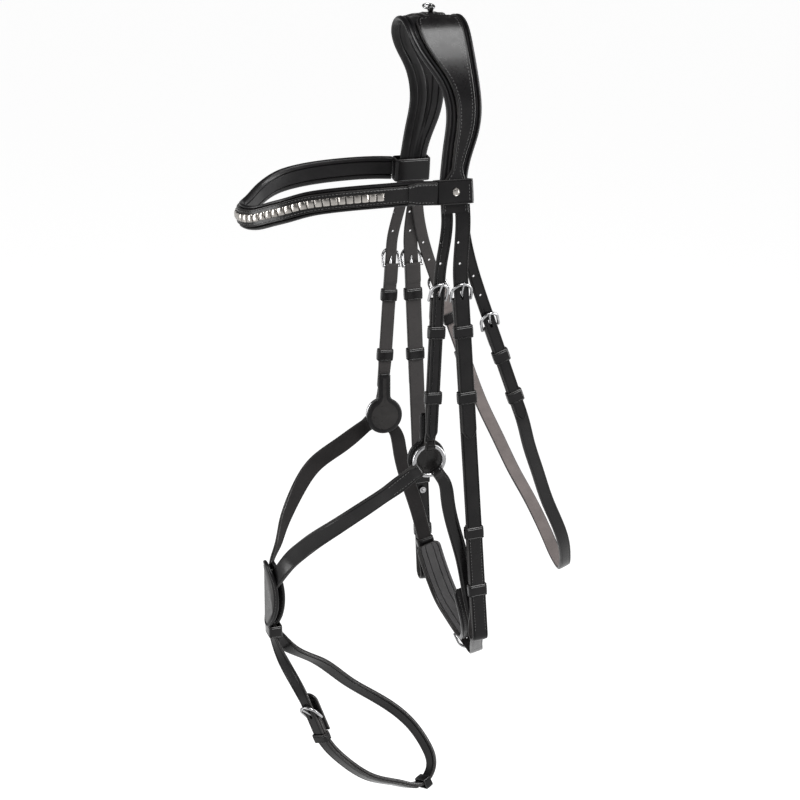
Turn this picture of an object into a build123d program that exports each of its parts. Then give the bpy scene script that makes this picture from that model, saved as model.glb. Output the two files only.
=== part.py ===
from build123d import *
import math
import os

# Snaffle bridle with a crossed (Mexican) noseband, as it hangs on a horse's head.
# Millimetres. The horse faces -X, its right (off) side is +Y and +Z is up.
# The origin is the middle of the crown's underside, where it rests on the poll.
# Each side piece is drawn on the off side and mirrored to the near side.

# --- leather -----------------------------------------------------------------
STRAP = 3.0  # two layers sewn together
BILLET = 2.0  # one layer with punched holes
CHAPE = 4.4  # strap folded round a buckle bar
SEAM_GAP = 0.1  # between layers that lie on each other
BODY_GAP = 0.3  # between pieces that move apart

CHEEK_WIDTH = 14.0
CHEEK_BILLET_WIDTH = 13.0
HANGER_WIDTH = 12.0
HANGER_BILLET_WIDTH = 10.0
THROAT_WIDTH = 11.5
THROAT_BILLET_WIDTH = 10.5
CROSS_WIDTH = 15.0
CHIN_WIDTH = 12.0
CHIN_BILLET_WIDTH = 11.0
JAW_WIDTH = 13.5
JAW_BILLET_WIDTH = 12.0
JAW_PAD_WIDTH = 24.0

# --- buckles -----------------------------------------------------------------
BAR_R = 1.1
WIRE_R = 1.25
SIDE_GAP = 1.2  # billet edge to frame
TOP_REACH = 14.0  # bar to frame top, along the strap
TOP_LIFT = 7.2  # bar to frame top, out from the strap
TONGUE_R = 0.9
TONGUE_ANGLE = 35.6
TONGUE_LENGTH = 19.4
EYE_R = 2.05
EYE_WIDTH = 2.4
EYE_CLEARANCE = 0.08
BORE_CLEARANCE = 0.1
CHAPE_LENGTH = 15.0
HOLE_R = 1.1
HOLE_PITCH = 17.5

# --- keepers and ring --------------------------------------------------------
KEEPER_WALL = 1.5
KEEPER_HEIGHT = 10.5
RING_R = 13.1  # to the middle of the wire
RING_WIRE_R = 1.9
RING_GAP = 0.3  # leather to wire
LOOP_WALL = 1.7

# --- cheekpiece's folded lower end -------------------------------------------
BIT_LOOP_R = 5.0
FOLD_CURVE = 26.0
FOLD_LENGTH = 102.0
FOLD_GAP = 0.2  # between the strap and the end folded up behind it
BIT_KEEPERS_UP = (95.0, 42.0)
STUD_UP = 84.0

# --- crown -------------------------------------------------------------------
PAD_THICKNESS = 4.4
PANEL_LOW = 4.5
PANEL_HIGH = 6.7
PANEL_INSET = 6.5
PAD_END_Z = -131.0
PANEL_END_Z = -150.0
ROOT_TOP_Z = -136.0
ROOT_LOW = 1.8  # sewn end of a hanging billet, under the panel
ROOT_HIGH = 3.8

# Crown's underside from the poll down the off side, as (y, z).
CROWN_LINE = [
    (0, 0), (15, -4), (28, -20), (36, -36), (42, -54), (45, -75), (48, -103), (51, -130), (55, -152),
]
# Crown's front and rear edges, as (z, x).
CROWN_FRONT = [
    (0, -31.5), (-9, -30.5), (-28, -22.5), (-44, -12.5), (-58, -7.5), (-72, -6.2), (-95, -9.5), (-112, -12.0),
    (-130, -14.0), (-160, -14.0),
]
CROWN_REAR = [
    (0, 22.5), (-30, 23.0), (-50, 24.0), (-70, 24.4), (-88, 21.0), (-103, 15.5), (-120, 11.0), (-130, 10.0),
    (-160, 10.0),
]

# --- places of the buckle bars and hinge lines, off side -----------------------
NOSE_BAR = (-18.0, 62.0, -220.0)
CHEEK_BAR = (2.0, 63.0, -221.0)
THROAT_BAR = (29.0, 62.5, -247.0)
NOSE_ROOT_X = -8.5
CHEEK_ROOT_X = 4.3
THROAT_ROOT_X = 4.6
RING_CENTRE = (-26.0, 67.0, -358.0)
CHEEK_END = (18.5, 76.0, -521.0)  # middle of the loop for the bit

CROWN_EYE = (-4.0, 0.0, 9.4)
CROWN_RING_R = 4.6
CROWN_RING_WIRE_R = 0.9
CROWN_RING_LEAN = 72.0

Z_AXIS = Vector(0, 0, 1)


# =============================================================================
# Shapes
# =============================================================================
def unit(vector):
    return vector / vector.length


def square_to(vector, along):
    """The part of a vector that is square to another, at unit length."""
    return unit(vector - along * vector.dot(along))


def interpolate(table, key):
    """The value at key in a table of (key, value) with falling keys."""
    for (k0, v0), (k1, v1) in zip(table, table[1:]):
        if key >= k1:
            return v0 + (v1 - v0) * (k0 - key) / (k0 - k1)
    return table[-1][1]


def stations(edge, count):
    """Points and directions, evenly spaced along an edge."""
    return [(edge @ (i / count), edge % (i / count)) for i in range(count + 1)]


def through(points, count, tangents=()):
    """Stations along a smooth curve through points."""
    places = [Vector(*p) for p in points]
    if len(places) == 2:
        return stations(Line(*places), count)
    if tangents:
        return stations(Spline(*places, tangents=[Vector(*t) for t in tangents]), count)
    return stations(Spline(*places), count)


def skin(sections):
    """A solid through four-cornered sections."""
    wires = [Wire.make_polygon([Vector(*c) for c in corners], close=True) for corners in sections]
    solid = Solid.make_loft(wires, ruled=True)
    return solid if solid.volume > 0 else Solid(solid.wrapped.Reversed())


def sections_along(route, width, low, high, outward):
    """Corners of a flat strap at each station, low to high along the outward direction."""
    out = []
    for i, (point, along) in enumerate(route):
        normal = square_to(outward(point), along)
        across = normal.cross(along)
        half = (width(i / (len(route) - 1)) if callable(width) else width) / 2
        out.append(
            [
                point - across * half + normal * low,
                point + across * half + normal * low,
                point + across * half + normal * high,
                point - across * half + normal * high,
            ]
        )
    return out


def ribbon(route, width, low, high, outward):
    return skin(sections_along(route, width, low, high, outward))


def to_right(_point):
    """Outward on the off side."""
    return Vector(0, 1, 0)


def away_from(x, y, z):
    """Outward from a point inside a loop of strap."""
    centre = Vector(x, y, z)
    return lambda point: point - centre


def level_from(x, y):
    """Outward from an upright line, and level."""
    return lambda point: Vector(point.X - x, point.Y - y, 0)


def lifted(route, rise, outward):
    """The same route, raised outward by a layer."""
    return [(point + square_to(outward(point), along) * rise, along) for point, along in route]


def reverse(route):
    return [(point, along * -1) for point, along in reversed(route)]


def near(solid):
    """The near side's twin of an off side piece."""
    return mirror(solid, about=Plane.XZ)


SIDES = (("near", near), ("off", lambda solid: solid))


class Seat:
    """A place on a strap: x across it, y up it towards the billet's root, z outward."""

    def __init__(self, origin, up, outward):
        self.origin = Vector(*origin)
        self.up = unit(Vector(*up))
        self.out = square_to(Vector(*outward), self.up)
        self.plane = Plane(origin=self.origin, x_dir=self.up.cross(self.out), z_dir=self.out)

    def at(self, up, out=0.0):
        return self.origin + self.up * up + self.out * out

    def place(self, solid):
        return self.plane * solid


def block(width, low_y, high_y, low_z, high_z):
    """A box across the strap, between two heights on it."""
    middle = Pos(0, (low_y + high_y) / 2, (low_z + high_z) / 2)
    return middle * Box(width, high_y - low_y, high_z - low_z)


def rod_across(radius, length):
    """A cylinder along the local x axis."""
    return Rot(0, 90, 0) * Cylinder(radius, length)


def frame_reach(width):
    return width / 2 + SIDE_GAP + WIRE_R


def buckle_frame(width):
    """A horseshoe frame that leans out over its billet, with its bar at the origin."""
    reach = frame_reach(width)
    length = math.hypot(TOP_REACH, TOP_LIFT)
    leg = length - reach
    path = Wire(
        [
            Edge.make_line((-reach, 0, 0), (-reach, leg, 0)),
            Edge.make_three_point_arc((-reach, leg, 0), (0, length, 0), (reach, leg, 0)),
            Edge.make_line((reach, leg, 0), (reach, 0, 0)),
        ]
    )
    section = Plane(origin=(-reach, 0, 0), z_dir=(0, 1, 0)) * Circle(WIRE_R)
    arch = Rot(math.degrees(math.atan2(TOP_LIFT, TOP_REACH)), 0, 0) * sweep(section, path=path)
    knuckles = Pos(reach, 0, 0) * Sphere(WIRE_R) + Pos(-reach, 0, 0) * Sphere(WIRE_R)
    return arch + knuckles + rod_across(BAR_R, 2 * reach)


def buckle_tongue():
    """An eye round the bar and a pin that leans on the frame's top."""
    eye = rod_across(EYE_R, EYE_WIDTH)
    pin = Rot(-90, 0, 0) * Cylinder(TONGUE_R, TONGUE_LENGTH, align=(Align.CENTER, Align.CENTER, Align.MIN))
    tip = Pos(0, TONGUE_LENGTH, 0) * Sphere(TONGUE_R)
    tongue = eye + Rot(TONGUE_ANGLE, 0, 0) * (pin + tip)
    return tongue - rod_across(BAR_R + EYE_CLEARANCE, 2 * EYE_WIDTH)


def chape(width):
    """A strap's end folded round the bar, with a slot for the tongue."""
    fold = block(width, -CHAPE_LENGTH, 0, -CHAPE / 2, CHAPE / 2) + rod_across(CHAPE / 2, width)
    slot = block(EYE_WIDTH + 0.8, -EYE_R - 0.5, CHAPE, -CHAPE, CHAPE)
    return fold - rod_across(BAR_R + BORE_CLEARANCE, width * 2) - slot


STRAP_HIGH = CHAPE / 2
STRAP_LOW = STRAP_HIGH - STRAP
TAIL_LOW = STRAP_HIGH + SEAM_GAP
TAIL_HIGH = TAIL_LOW + BILLET
TAIL_MIDDLE = (TAIL_LOW + TAIL_HIGH) / 2
STRAP_MIDDLE = (STRAP_LOW + STRAP_HIGH) / 2
SLOT_LOW = 0.6
SLOT_HIGH = 8.2
SPLIT = 1.6  # where a cheek billet parts, at its buckle bar


def tongue_slot():
    """The long hole that the tongue passes through, in a billet over the bar."""
    return block(2 * TONGUE_R + 0.6, SLOT_LOW, SLOT_HIGH, TAIL_LOW - 1, TAIL_HIGH + 1)


def punched_holes(first, count):
    """Holes in a billet, one pitch apart, counted up from the bar."""
    hole = Pos(0, 0, TAIL_MIDDLE) * Cylinder(HOLE_R, BILLET * 3)
    return [Pos(0, first + i * HOLE_PITCH, 0) * hole for i in range(count)]


def pointed(width, length):
    """A billet's tip, running down from the local origin."""
    half = width / 2
    outline = make_face(
        Wire(
            [
                Edge.make_line((-half, 0, 0), (half, 0, 0)),
                Edge.make_three_point_arc((half, 0, 0), (half * 0.72, -length * 0.62, 0), (0, -length, 0)),
                Edge.make_three_point_arc((0, -length, 0), (-half * 0.72, -length * 0.62, 0), (-half, 0, 0)),
            ]
        )
    )
    return extrude(outline, BILLET)


def keeper(width, low, high, height=KEEPER_HEIGHT):
    """A leather loop round a strap that lies between low and high."""
    inner = block(width + 2 * BODY_GAP, -height, height, low - BODY_GAP, high + BODY_GAP)
    outer = block(
        width + 2 * (BODY_GAP + KEEPER_WALL),
        -height / 2,
        height / 2,
        low - BODY_GAP - KEEPER_WALL,
        high + BODY_GAP + KEEPER_WALL,
    )
    return outer - inner


def mirrored_pair(solid):
    return Compound(children=[near(solid), solid])


# =============================================================================
# Crown
# =============================================================================
def crown_stations():
    """The crown's underside from the near side over the poll to the off side."""
    points = [(0, -y, z) for y, z in reversed(CROWN_LINE[1:])] + [(0, y, z) for y, z in CROWN_LINE]
    return through(points, 72)


def crown_sections(low, high, inset, keep):
    """Sections of a layer of the crown, low to high outward from its underside."""
    out = []
    for point, along in crown_stations():
        if not keep(point):
            continue
        normal = square_to(Vector(0, point.Y, point.Z + 70), along)
        front = interpolate(CROWN_FRONT, point.Z) + inset(point)
        rear = interpolate(CROWN_REAR, point.Z) - inset(point)
        base = point + normal * low
        top = point + normal * high
        out.append([(front, base.Y, base.Z), (rear, base.Y, base.Z),
                    (rear, top.Y, top.Z), (front, top.Y, top.Z)])
    return out


def crown_seat(z):
    """Point and outward direction of the off side of the crown's underside at a height."""
    points = [(0, y, zz) for y, zz in CROWN_LINE]
    best = min(through(points, 300), key=lambda station: abs(station[0].Z - z))
    return best[0], square_to(Vector(0, 1, 0), best[1])


def panel_inset(point):
    """The panel is narrower than the pad at the top and as wide as it at its ends."""
    share = min(1.0, max(0.0, (point.Z - PAD_END_Z) / 20.0))
    return 0.3 + (PANEL_INSET - 0.3) * share


def crown():
    pad = skin(crown_sections(0, PAD_THICKNESS, lambda p: 0.0, lambda p: p.Z > PAD_END_Z))
    off_panel = skin(
        crown_sections(PANEL_LOW, PANEL_HIGH, panel_inset, lambda p: p.Y > 9 and p.Z > PANEL_END_Z)
    )
    tab_low = PANEL_LOW
    tab = skin(
        crown_sections(tab_low, tab_low + 2.2, lambda p: 20.0, lambda p: abs(p.Y) < 8.5)
    )
    eye = Vector(*CROWN_EYE)
    tab_loop = Pos(*eye) * Rot(0, 90, 0) * (Cylinder(2.9, 3.6) - Cylinder(1.6, 4))
    ring = Pos(*eye) * Rot(-CROWN_RING_LEAN, 0, 0) * Pos(0, 0, CROWN_RING_R) * Rot(90, 0, 0)
    ring *= Torus(CROWN_RING_R, CROWN_RING_WIRE_R)
    return {
        "crown_pad": pad,
        "crown_panels": mirrored_pair(off_panel),
        "crown_tab": tab + tab_loop,
        "crown_ring": ring,
    }


# =============================================================================
# Billets and the straps they hold up
# =============================================================================
def hung_billet(seat, width, root_x, root_low, root_high, root_z, tail, tip, holes):
    """A billet from its sewn root down through the buckle to its pointed tip."""
    root, normal = crown_seat(root_z)
    middle = (root_low + root_high) / 2
    top = Vector(root_x, root.Y, root.Z) + normal * middle
    down_root = crown_seat(PANEL_END_Z - 1)
    lap_end = Vector(root_x, down_root[0].Y, down_root[0].Z) + down_root[1] * middle
    start = seat.at(TOP_REACH + 4, TAIL_MIDDLE)
    bend = through([start, lap_end], 14, tangents=[seat.up, (top - lap_end)])
    route = [(seat.at(-tail, TAIL_MIDDLE), seat.up)] + bend + [(top, unit(top - lap_end))]
    solid = ribbon(route, width, -BILLET / 2, BILLET / 2, to_right)
    local = Pos(0, -tail, TAIL_LOW) * pointed(width, tip)
    solid = solid + seat.place(local)
    for hole in [tongue_slot()] + holes:
        solid -= seat.place(hole)
    return solid


NOSE_SEAT = Seat(NOSE_BAR, Vector(*NOSE_BAR) - Vector(-25.6, 66.6, -352), (0, 1, 0))
CHEEK_SEAT = Seat(CHEEK_BAR, Vector(*CHEEK_BAR) - Vector(*CHEEK_END), (0, 1, 0))
THROAT_SEAT = Seat(THROAT_BAR, (-0.34, 0.0, 0.94), (0, 1, 0))


def nose_hanger():
    """The short strap from the noseband buckle to the ring, on the off side."""
    seat = NOSE_SEAT
    ring = Vector(*RING_CENTRE)
    wire_top = ring + Z_AXIS * RING_R
    length = (seat.origin - wire_top).length
    strap = block(HANGER_WIDTH, -length + 9, -CHAPE_LENGTH + 1, STRAP_LOW, STRAP_HIGH)
    strap = seat.place(strap + chape(HANGER_WIDTH))
    neck_top = seat.at(-length + 10, (STRAP_LOW + STRAP_HIGH) / 2)
    neck = through([neck_top, (ring.X, ring.Y, wire_top.Z + 2)], 4)
    loop_half = RING_WIRE_R + RING_GAP + LOOP_WALL
    taper = ribbon(neck, lambda t: HANGER_WIDTH - 3 * t, -STRAP / 2, STRAP / 2, to_right)
    loop = Pos(ring.X, ring.Y, ring.Z + RING_R - 0.5) * Box(9.0, 2 * loop_half, 2 * loop_half + 1.0)
    return strap + taper + loop - ring_tunnel()


def ring_tunnel():
    """The space that a strap's loop leaves round the ring's wire."""
    return Pos(*RING_CENTRE) * Rot(90, 0, 0) * Torus(RING_R, RING_WIRE_R + RING_GAP)


def ring_loop(angle, width, length):
    """A leather loop round the ring's wire at an angle in the ring's plane."""
    half = RING_WIRE_R + RING_GAP + LOOP_WALL
    body = Pos(RING_R + length / 2 - half - 0.6, 0, 0) * Box(length, 2 * half, width)
    return Pos(*RING_CENTRE) * Rot(0, -angle, 0) * body - ring_tunnel()


def noseband():
    seat = NOSE_SEAT
    billet = hung_billet(
        seat, HANGER_BILLET_WIDTH, NOSE_ROOT_X, ROOT_LOW, ROOT_HIGH, ROOT_TOP_Z, 112, 7, punched_holes(31, 2)
    )
    keeper_at = [Pos(0, y, 0) * keeper(HANGER_WIDTH, STRAP_LOW, TAIL_HIGH) for y in (-27.0, -83.0)]
    pad_centre = Vector(RING_CENTRE[0], RING_CENTRE[1] - 8.2, RING_CENTRE[2])
    disc = Rot(90, 0, 0) * Cylinder(17, 3.6)
    neck = Pos(1, 0, 26) * Box(12, 3.6, 30)
    ring = Pos(*RING_CENTRE) * Rot(90, 0, 0) * Torus(RING_R, RING_WIRE_R)
    nodes = {
        "noseband_billets": mirrored_pair(billet),
        "noseband_hangers": mirrored_pair(nose_hanger()),
        "noseband_frames": mirrored_pair(seat.place(buckle_frame(HANGER_BILLET_WIDTH))),
        "noseband_fixed_keepers": mirrored_pair(seat.place(keeper_at[0])),
        "cheek_pads": mirrored_pair(Pos(*pad_centre) * (disc + neck)),
    }
    for side, turn in SIDES:
        nodes[f"{side}_noseband_tongue"] = turn(seat.place(buckle_tongue()))
        nodes[f"{side}_noseband_runner"] = turn(seat.place(keeper_at[1]))
        nodes[f"{side}_ring"] = turn(ring)
    return nodes


def cheekpieces():
    """The straps that carry the bit, with the billets that they hang on."""
    seat = CHEEK_SEAT
    tail = 112
    billet = hung_billet(
        seat, CHEEK_BILLET_WIDTH, CHEEK_ROOT_X, PANEL_LOW, PANEL_HIGH, PANEL_END_Z - 0.4, 0, 1,
        punched_holes(31, 2),
    )
    below = block(40, -60, SPLIT, -20, 20)
    billet -= seat.place(below)
    end = block(CHEEK_BILLET_WIDTH, -tail, -BODY_GAP, TAIL_LOW, TAIL_HIGH)
    end += Pos(0, -tail, TAIL_LOW) * pointed(CHEEK_BILLET_WIDTH, 9)
    length = (Vector(*CHEEK_BAR) - Vector(*CHEEK_END)).length
    loop_r = BIT_LOOP_R + BILLET
    strap = block(CHEEK_WIDTH, -length, -CHAPE_LENGTH + 1, STRAP_LOW, STRAP_HIGH) + chape(CHEEK_WIDTH)
    loop_z = STRAP_HIGH - loop_r
    loop = Pos(0, -length, loop_z) * (rod_across(loop_r, CHEEK_WIDTH))
    fold_z = STRAP_LOW - FOLD_GAP - BILLET / 2
    back = [(0, -length, loop_z - BIT_LOOP_R - BILLET / 2), (0, -length + FOLD_CURVE, fold_z)]
    route = through(back, 12, tangents=[(0, 1, 0), (0, 1, 0)])
    route.append((Vector(0, -length + FOLD_LENGTH, fold_z), Vector(0, 1, 0)))
    fold = ribbon(route, CHEEK_WIDTH, -BILLET / 2, BILLET / 2, lambda p: Vector(0, 0, 1))
    strap = strap + loop + fold - Pos(0, -length, loop_z) * rod_across(BIT_LOOP_R, CHEEK_WIDTH * 2)
    stud_y = -length + STUD_UP
    inner_face = fold_z - BILLET / 2
    stud = Pos(0, stud_y, inner_face - 1.0) * Cylinder(1.3, 2.0)
    stud += Pos(0, stud_y, inner_face - 2.6) * (Cylinder(3.0, 1.4) + Pos(0, 0, -0.7) * Sphere(1.6))
    bit_keepers = [
        Pos(0, -length + up, 0) * keeper(CHEEK_WIDTH, inner_face, STRAP_HIGH) for up in BIT_KEEPERS_UP
    ]
    nodes = {
        "cheek_billets": mirrored_pair(billet),
        "cheek_frames": mirrored_pair(seat.place(buckle_frame(CHEEK_BILLET_WIDTH))),
    }
    pieces = {
        "cheek_strap": strap,
        "cheek_billet_end": end,
        "cheek_fixed_keeper": Pos(0, -27.0, 0) * keeper(CHEEK_WIDTH, STRAP_LOW, TAIL_HIGH),
        "cheek_runner": Pos(0, -84.0, 0) * keeper(CHEEK_WIDTH, STRAP_LOW, TAIL_HIGH),
        "bit_keepers": Compound(children=bit_keepers),
        "hook_stud": stud,
        "cheek_tongue": buckle_tongue(),
    }
    for side, turn in SIDES:
        for name, solid in pieces.items():
            nodes[f"{side}_{name}"] = turn(seat.place(solid))
    return nodes


# =============================================================================
# Throatlatch
# =============================================================================
THROAT_HALF = [
    (67.5, 57.5, -355.0), (80, 49, -385), (94, 40, -418), (106, 34, -442),
    (115, 28.5, -462), (122, 19, -482), (126.5, 8, -497),
]
THROAT_BOTTOM = (128.0, 0.0, -501.0)
THROAT_STRAIGHT = 84.0
THROAT_CENTRE = away_from(62.0, 0.0, -335.0)


def both_halves(half, middle):
    """Points of a U from the near side through its lowest point to the off side."""
    return [(x, -y, z) for x, y, z in half] + [middle] + [(x, y, z) for x, y, z in reversed(half)]


def throatlatch():
    seat = THROAT_SEAT
    billet = hung_billet(
        seat, THROAT_BILLET_WIDTH, THROAT_ROOT_X, ROOT_LOW, ROOT_HIGH, ROOT_TOP_Z, 82, 7, punched_holes(31, 2)
    )
    start = seat.at(-CHAPE_LENGTH + 1, STRAP_MIDDLE)
    run = seat.at(-THROAT_STRAIGHT, STRAP_MIDDLE)
    down = seat.up * -1
    half = [tuple(run)] + THROAT_HALF
    bend = through(both_halves(half, THROAT_BOTTOM), 76, tangents=[(down.X, -down.Y, down.Z), seat.up])
    route = [(Vector(start.X, -start.Y, start.Z), bend[0][1])] + bend + [(start, bend[-1][1])]
    strap = ribbon(route, THROAT_WIDTH, -STRAP / 2, STRAP / 2, THROAT_CENTRE)
    end = seat.place(chape(THROAT_WIDTH))
    strap = strap + end + near(end)
    keeper_at = [Pos(0, y, 0) * keeper(THROAT_WIDTH, STRAP_LOW, TAIL_HIGH) for y in (-27.0, -66.0)]
    nodes = {
        "throat_billets": mirrored_pair(billet),
        "throat_strap": strap,
        "throat_frames": mirrored_pair(seat.place(buckle_frame(THROAT_BILLET_WIDTH))),
        "throat_fixed_keepers": mirrored_pair(seat.place(keeper_at[0])),
    }
    for side, turn in SIDES:
        nodes[f"{side}_throat_tongue"] = turn(seat.place(buckle_tongue()))
        nodes[f"{side}_throat_runner"] = turn(seat.place(keeper_at[1]))
    return nodes


# =============================================================================
# Browband
# =============================================================================
BROW_HEIGHT = 20.0
BROW_FACE_HEIGHT = 14.0
BROW_FRONT = (-167.5, 0.0, -151.7)
BROW_HALF = [
    (-19.0, 60.4, -131.4), (-34.0, 61.2, -130.6), (-60.0, 61.6, -130.6), (-88.0, 59.4, -131.6),
    (-110.0, 55.0, -133.4), (-126.0, 49.5, -136.2), (-141.5, 40.0, -141.9), (-151.3, 30.0, -146.3),
    (-160.2, 20.0, -150.4), (-165.7, 10.0, -151.7),
]
BROW_OUT = level_from(-60.0, 0.0)
LINK_PITCH = 6.2
LINK_LENGTH = 5.7
LINK_HEIGHT = 7.0
LINKS_EACH_SIDE = 21
LOOP_LOW_Z = -142.0
LOOP_HIGH_Z = -122.0
LOOP_CLEARANCE = 1.1


def browband():
    edge = Spline(*[Vector(*p) for p in both_halves(BROW_HALF, BROW_FRONT)])
    route = stations(edge, 72)
    lining = ribbon(route, BROW_HEIGHT, -4.6, 0.0, BROW_OUT)
    face = ribbon(route[2:-2], BROW_FACE_HEIGHT, 0.1, 2.4, BROW_OUT)
    links = []
    for i in range(-LINKS_EACH_SIDE, LINKS_EACH_SIDE + 1):
        middle = 0.5 + i * LINK_PITCH / edge.length
        span = LINK_LENGTH / 2 / edge.length
        ends = [(edge @ t, edge % t) for t in (middle - span, middle + span)]
        links.append(ribbon(ends, LINK_HEIGHT, 2.8, 4.2, BROW_OUT))
    low, _ = crown_seat(LOOP_LOW_Z)
    high, _ = crown_seat(LOOP_HIGH_Z)
    front = interpolate(CROWN_FRONT, LOOP_HIGH_Z) - LOOP_CLEARANCE - 2.2
    rear = interpolate(CROWN_REAR, LOOP_HIGH_Z) + LOOP_CLEARANCE
    middle = [
        Vector((front + rear) / 2, p.Y + (PANEL_HIGH / 2), z)
        for p, z in ((low, LOOP_LOW_Z), (high, LOOP_HIGH_Z))
    ]
    depth = PANEL_HIGH + 2 * LOOP_CLEARANCE
    route = through(middle, 1)
    wall = KEEPER_WALL + 0.3
    loop = ribbon(route, rear - front + 2 * wall, -depth / 2 - wall, depth / 2 + wall, to_right)
    hole = [middle[0] + (middle[0] - middle[1]) * 0.2, middle[1] + (middle[1] - middle[0]) * 0.2]
    loop -= ribbon(through(hole, 1), rear - front, -depth / 2, depth / 2, to_right)
    stud = Pos((front + rear) / 2, (low.Y + high.Y) / 2 + PANEL_HIGH / 2 + depth / 2 + wall + 1.2, -131)
    stud *= Rot(90, 0, 0) * (Cylinder(3.4, 1.4))
    return {
        "browband_lining": lining,
        "browband_face": face,
        "clincher_links": Compound(children=links),
        "browband_loops": mirrored_pair(loop),
        "browband_studs": mirrored_pair(stud),
    }


# =============================================================================
# Crossed front straps, chin strap and jaw strap
# =============================================================================
NOSE_CURVE_R = 22.0
NOSE_FRONT_X = -150.0
CROSS_OUT = level_from(-100.0, 0.0)
CROSS_ANGLE = 215.0
JAW_ANGLE = 304.0
CROSS_PAD_HALF_WIDTH = 20.0
CROSS_PAD_TOP = -460.0
CROSS_PAD_BOTTOM = -522.0
COLLAR_CENTRE = (-148.0, 0.0, -527.5)


def cross():
    ring = Vector(*RING_CENTRE)
    heading = Vector(math.cos(math.radians(CROSS_ANGLE)), 0, math.sin(math.radians(CROSS_ANGLE)))
    start = ring + heading * (RING_R + 8)
    axis_x = NOSE_FRONT_X + NOSE_CURVE_R
    wrapped = []
    for angle, z in ((64, -455.0), (44, -465.5), (22, -477.0), (1, -488.0)):
        turn = math.radians(angle)
        wrapped.append((axis_x - NOSE_CURVE_R * math.cos(turn), NOSE_CURVE_R * math.sin(turn), z))
    points = [tuple(start), (-66, 66.4, -385), (-90, 64.5, -399.5), (-108, 53.5, -415.5),
              (-121.7, 40, -430.7), (-130.2, 30, -442.4)] + wrapped
    strap = ribbon(through(points, 40), CROSS_WIDTH, -1.3, 1.3, CROSS_OUT)
    strap += ring_loop(CROSS_ANGLE, 12.0, 16.0)
    middle_z = (CROSS_PAD_TOP + CROSS_PAD_BOTTOM) / 2
    oval = Plane.YZ * Ellipse(CROSS_PAD_HALF_WIDTH, (CROSS_PAD_TOP - CROSS_PAD_BOTTOM) / 2)
    outline = Pos(axis_x, 0, middle_z) * extrude(oval, -60)
    layers = []
    for low, high in ((3.7, 6.4), (-5.6, -3.0)):
        shell = Cylinder(NOSE_CURVE_R + high, 100) - Cylinder(NOSE_CURVE_R + low, 100)
        layers.append((Pos(axis_x, 0, middle_z) * shell) & outline)
    collar = Pos(*COLLAR_CENTRE) * (Box(17.4, 25.0, 7) - Box(14.4, 22.0, 20))
    return {
        "cross_straps": mirrored_pair(strap),
        "cross_pads": Compound(children=layers),
        "cross_collar": collar,
    }


# The chin strap leaves its buckle on the near side, turns at the back of the chin and
# comes up the off side to the collar. The billet hangs from the collar on the near side.
CHIN_BAR = (-119.5, -29.0, -603.0)
CHIN_UP = (-0.33, 0.10, 0.94)
CHIN_HUB = (-78.0, 0.0, -618.0)
CHIN_OUT = away_from(*CHIN_HUB)
CHIN_POINT = (-6.0, 1.0, -703.0)
CHIN_NEAR_RUN = [(-93.0, -29.5, -650.0), (-64.0, -21.0, -677.0), (-34.0, -9.0, -694.5), CHIN_POINT]
CHIN_OFF_RUN = [
    (3.5, 8, -692), (1, 17, -676), (-14, 26, -652), (-40, 30, -628), (-72, 26, -602), (-104, 15, -570.5),
    (-132.6, 6.5, -549), (-147, 1.5, -525),
]
CHIN_BILLET_TOP = (-150.3, -2.5, -527.0)
CHIN_BILLET_BEND = (-141.0, -10.5, -556.0)
CHIN_TAIL_STATIONS = 24


def chin():
    seat = Seat(CHIN_BAR, CHIN_UP, CHIN_OUT(Vector(*CHIN_BAR)))
    start = seat.at(-CHAPE_LENGTH + 1, STRAP_MIDDLE)
    down = seat.up * -1
    route = through([tuple(start)] + CHIN_NEAR_RUN + CHIN_OFF_RUN, 64, tangents=[down, (-0.25, -0.1, 0.95)])
    strap = ribbon(route, CHIN_WIDTH, -STRAP / 2, STRAP / 2, CHIN_OUT) + seat.place(chape(CHIN_WIDTH))

    over = seat.at(TOP_REACH + 4, TAIL_MIDDLE)
    upper = through([over, CHIN_BILLET_BEND, CHIN_BILLET_TOP], 10, tangents=[seat.up, (-0.2, 0.1, 0.95)])
    tail = lifted(route[:CHIN_TAIL_STATIONS], TAIL_MIDDLE - STRAP_MIDDLE, CHIN_OUT)
    billet = ribbon(reverse(upper) + tail, CHIN_BILLET_WIDTH, -BILLET / 2, BILLET / 2, CHIN_OUT)
    billet -= seat.place(tongue_slot())

    guard = block(16, -15.5, 22, -CHAPE / 2 - 2.6, -CHAPE / 2 - 0.4)
    point, along = min(route, key=lambda station: (station[0] - Vector(*CHIN_POINT)).length)
    runner_seat = Seat(point, along * -1, CHIN_OUT(point))
    runner = keeper(CHIN_WIDTH, -STRAP / 2 - 1, STRAP / 2 + BILLET + 1, 8.0)
    fixed = Pos(0, -20, 0) * keeper(CHIN_WIDTH, STRAP_LOW - 1.2, TAIL_HIGH + 0.5, 8.0)
    return {
        "chin_strap": strap,
        "chin_billet": billet,
        "chin_frame": seat.place(buckle_frame(CHIN_BILLET_WIDTH)),
        "chin_tongue": seat.place(buckle_tongue()),
        "chin_fixed_keeper": seat.place(fixed),
        "chin_guard": seat.place(guard),
        "chin_runner": runner_seat.place(runner),
    }


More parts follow.
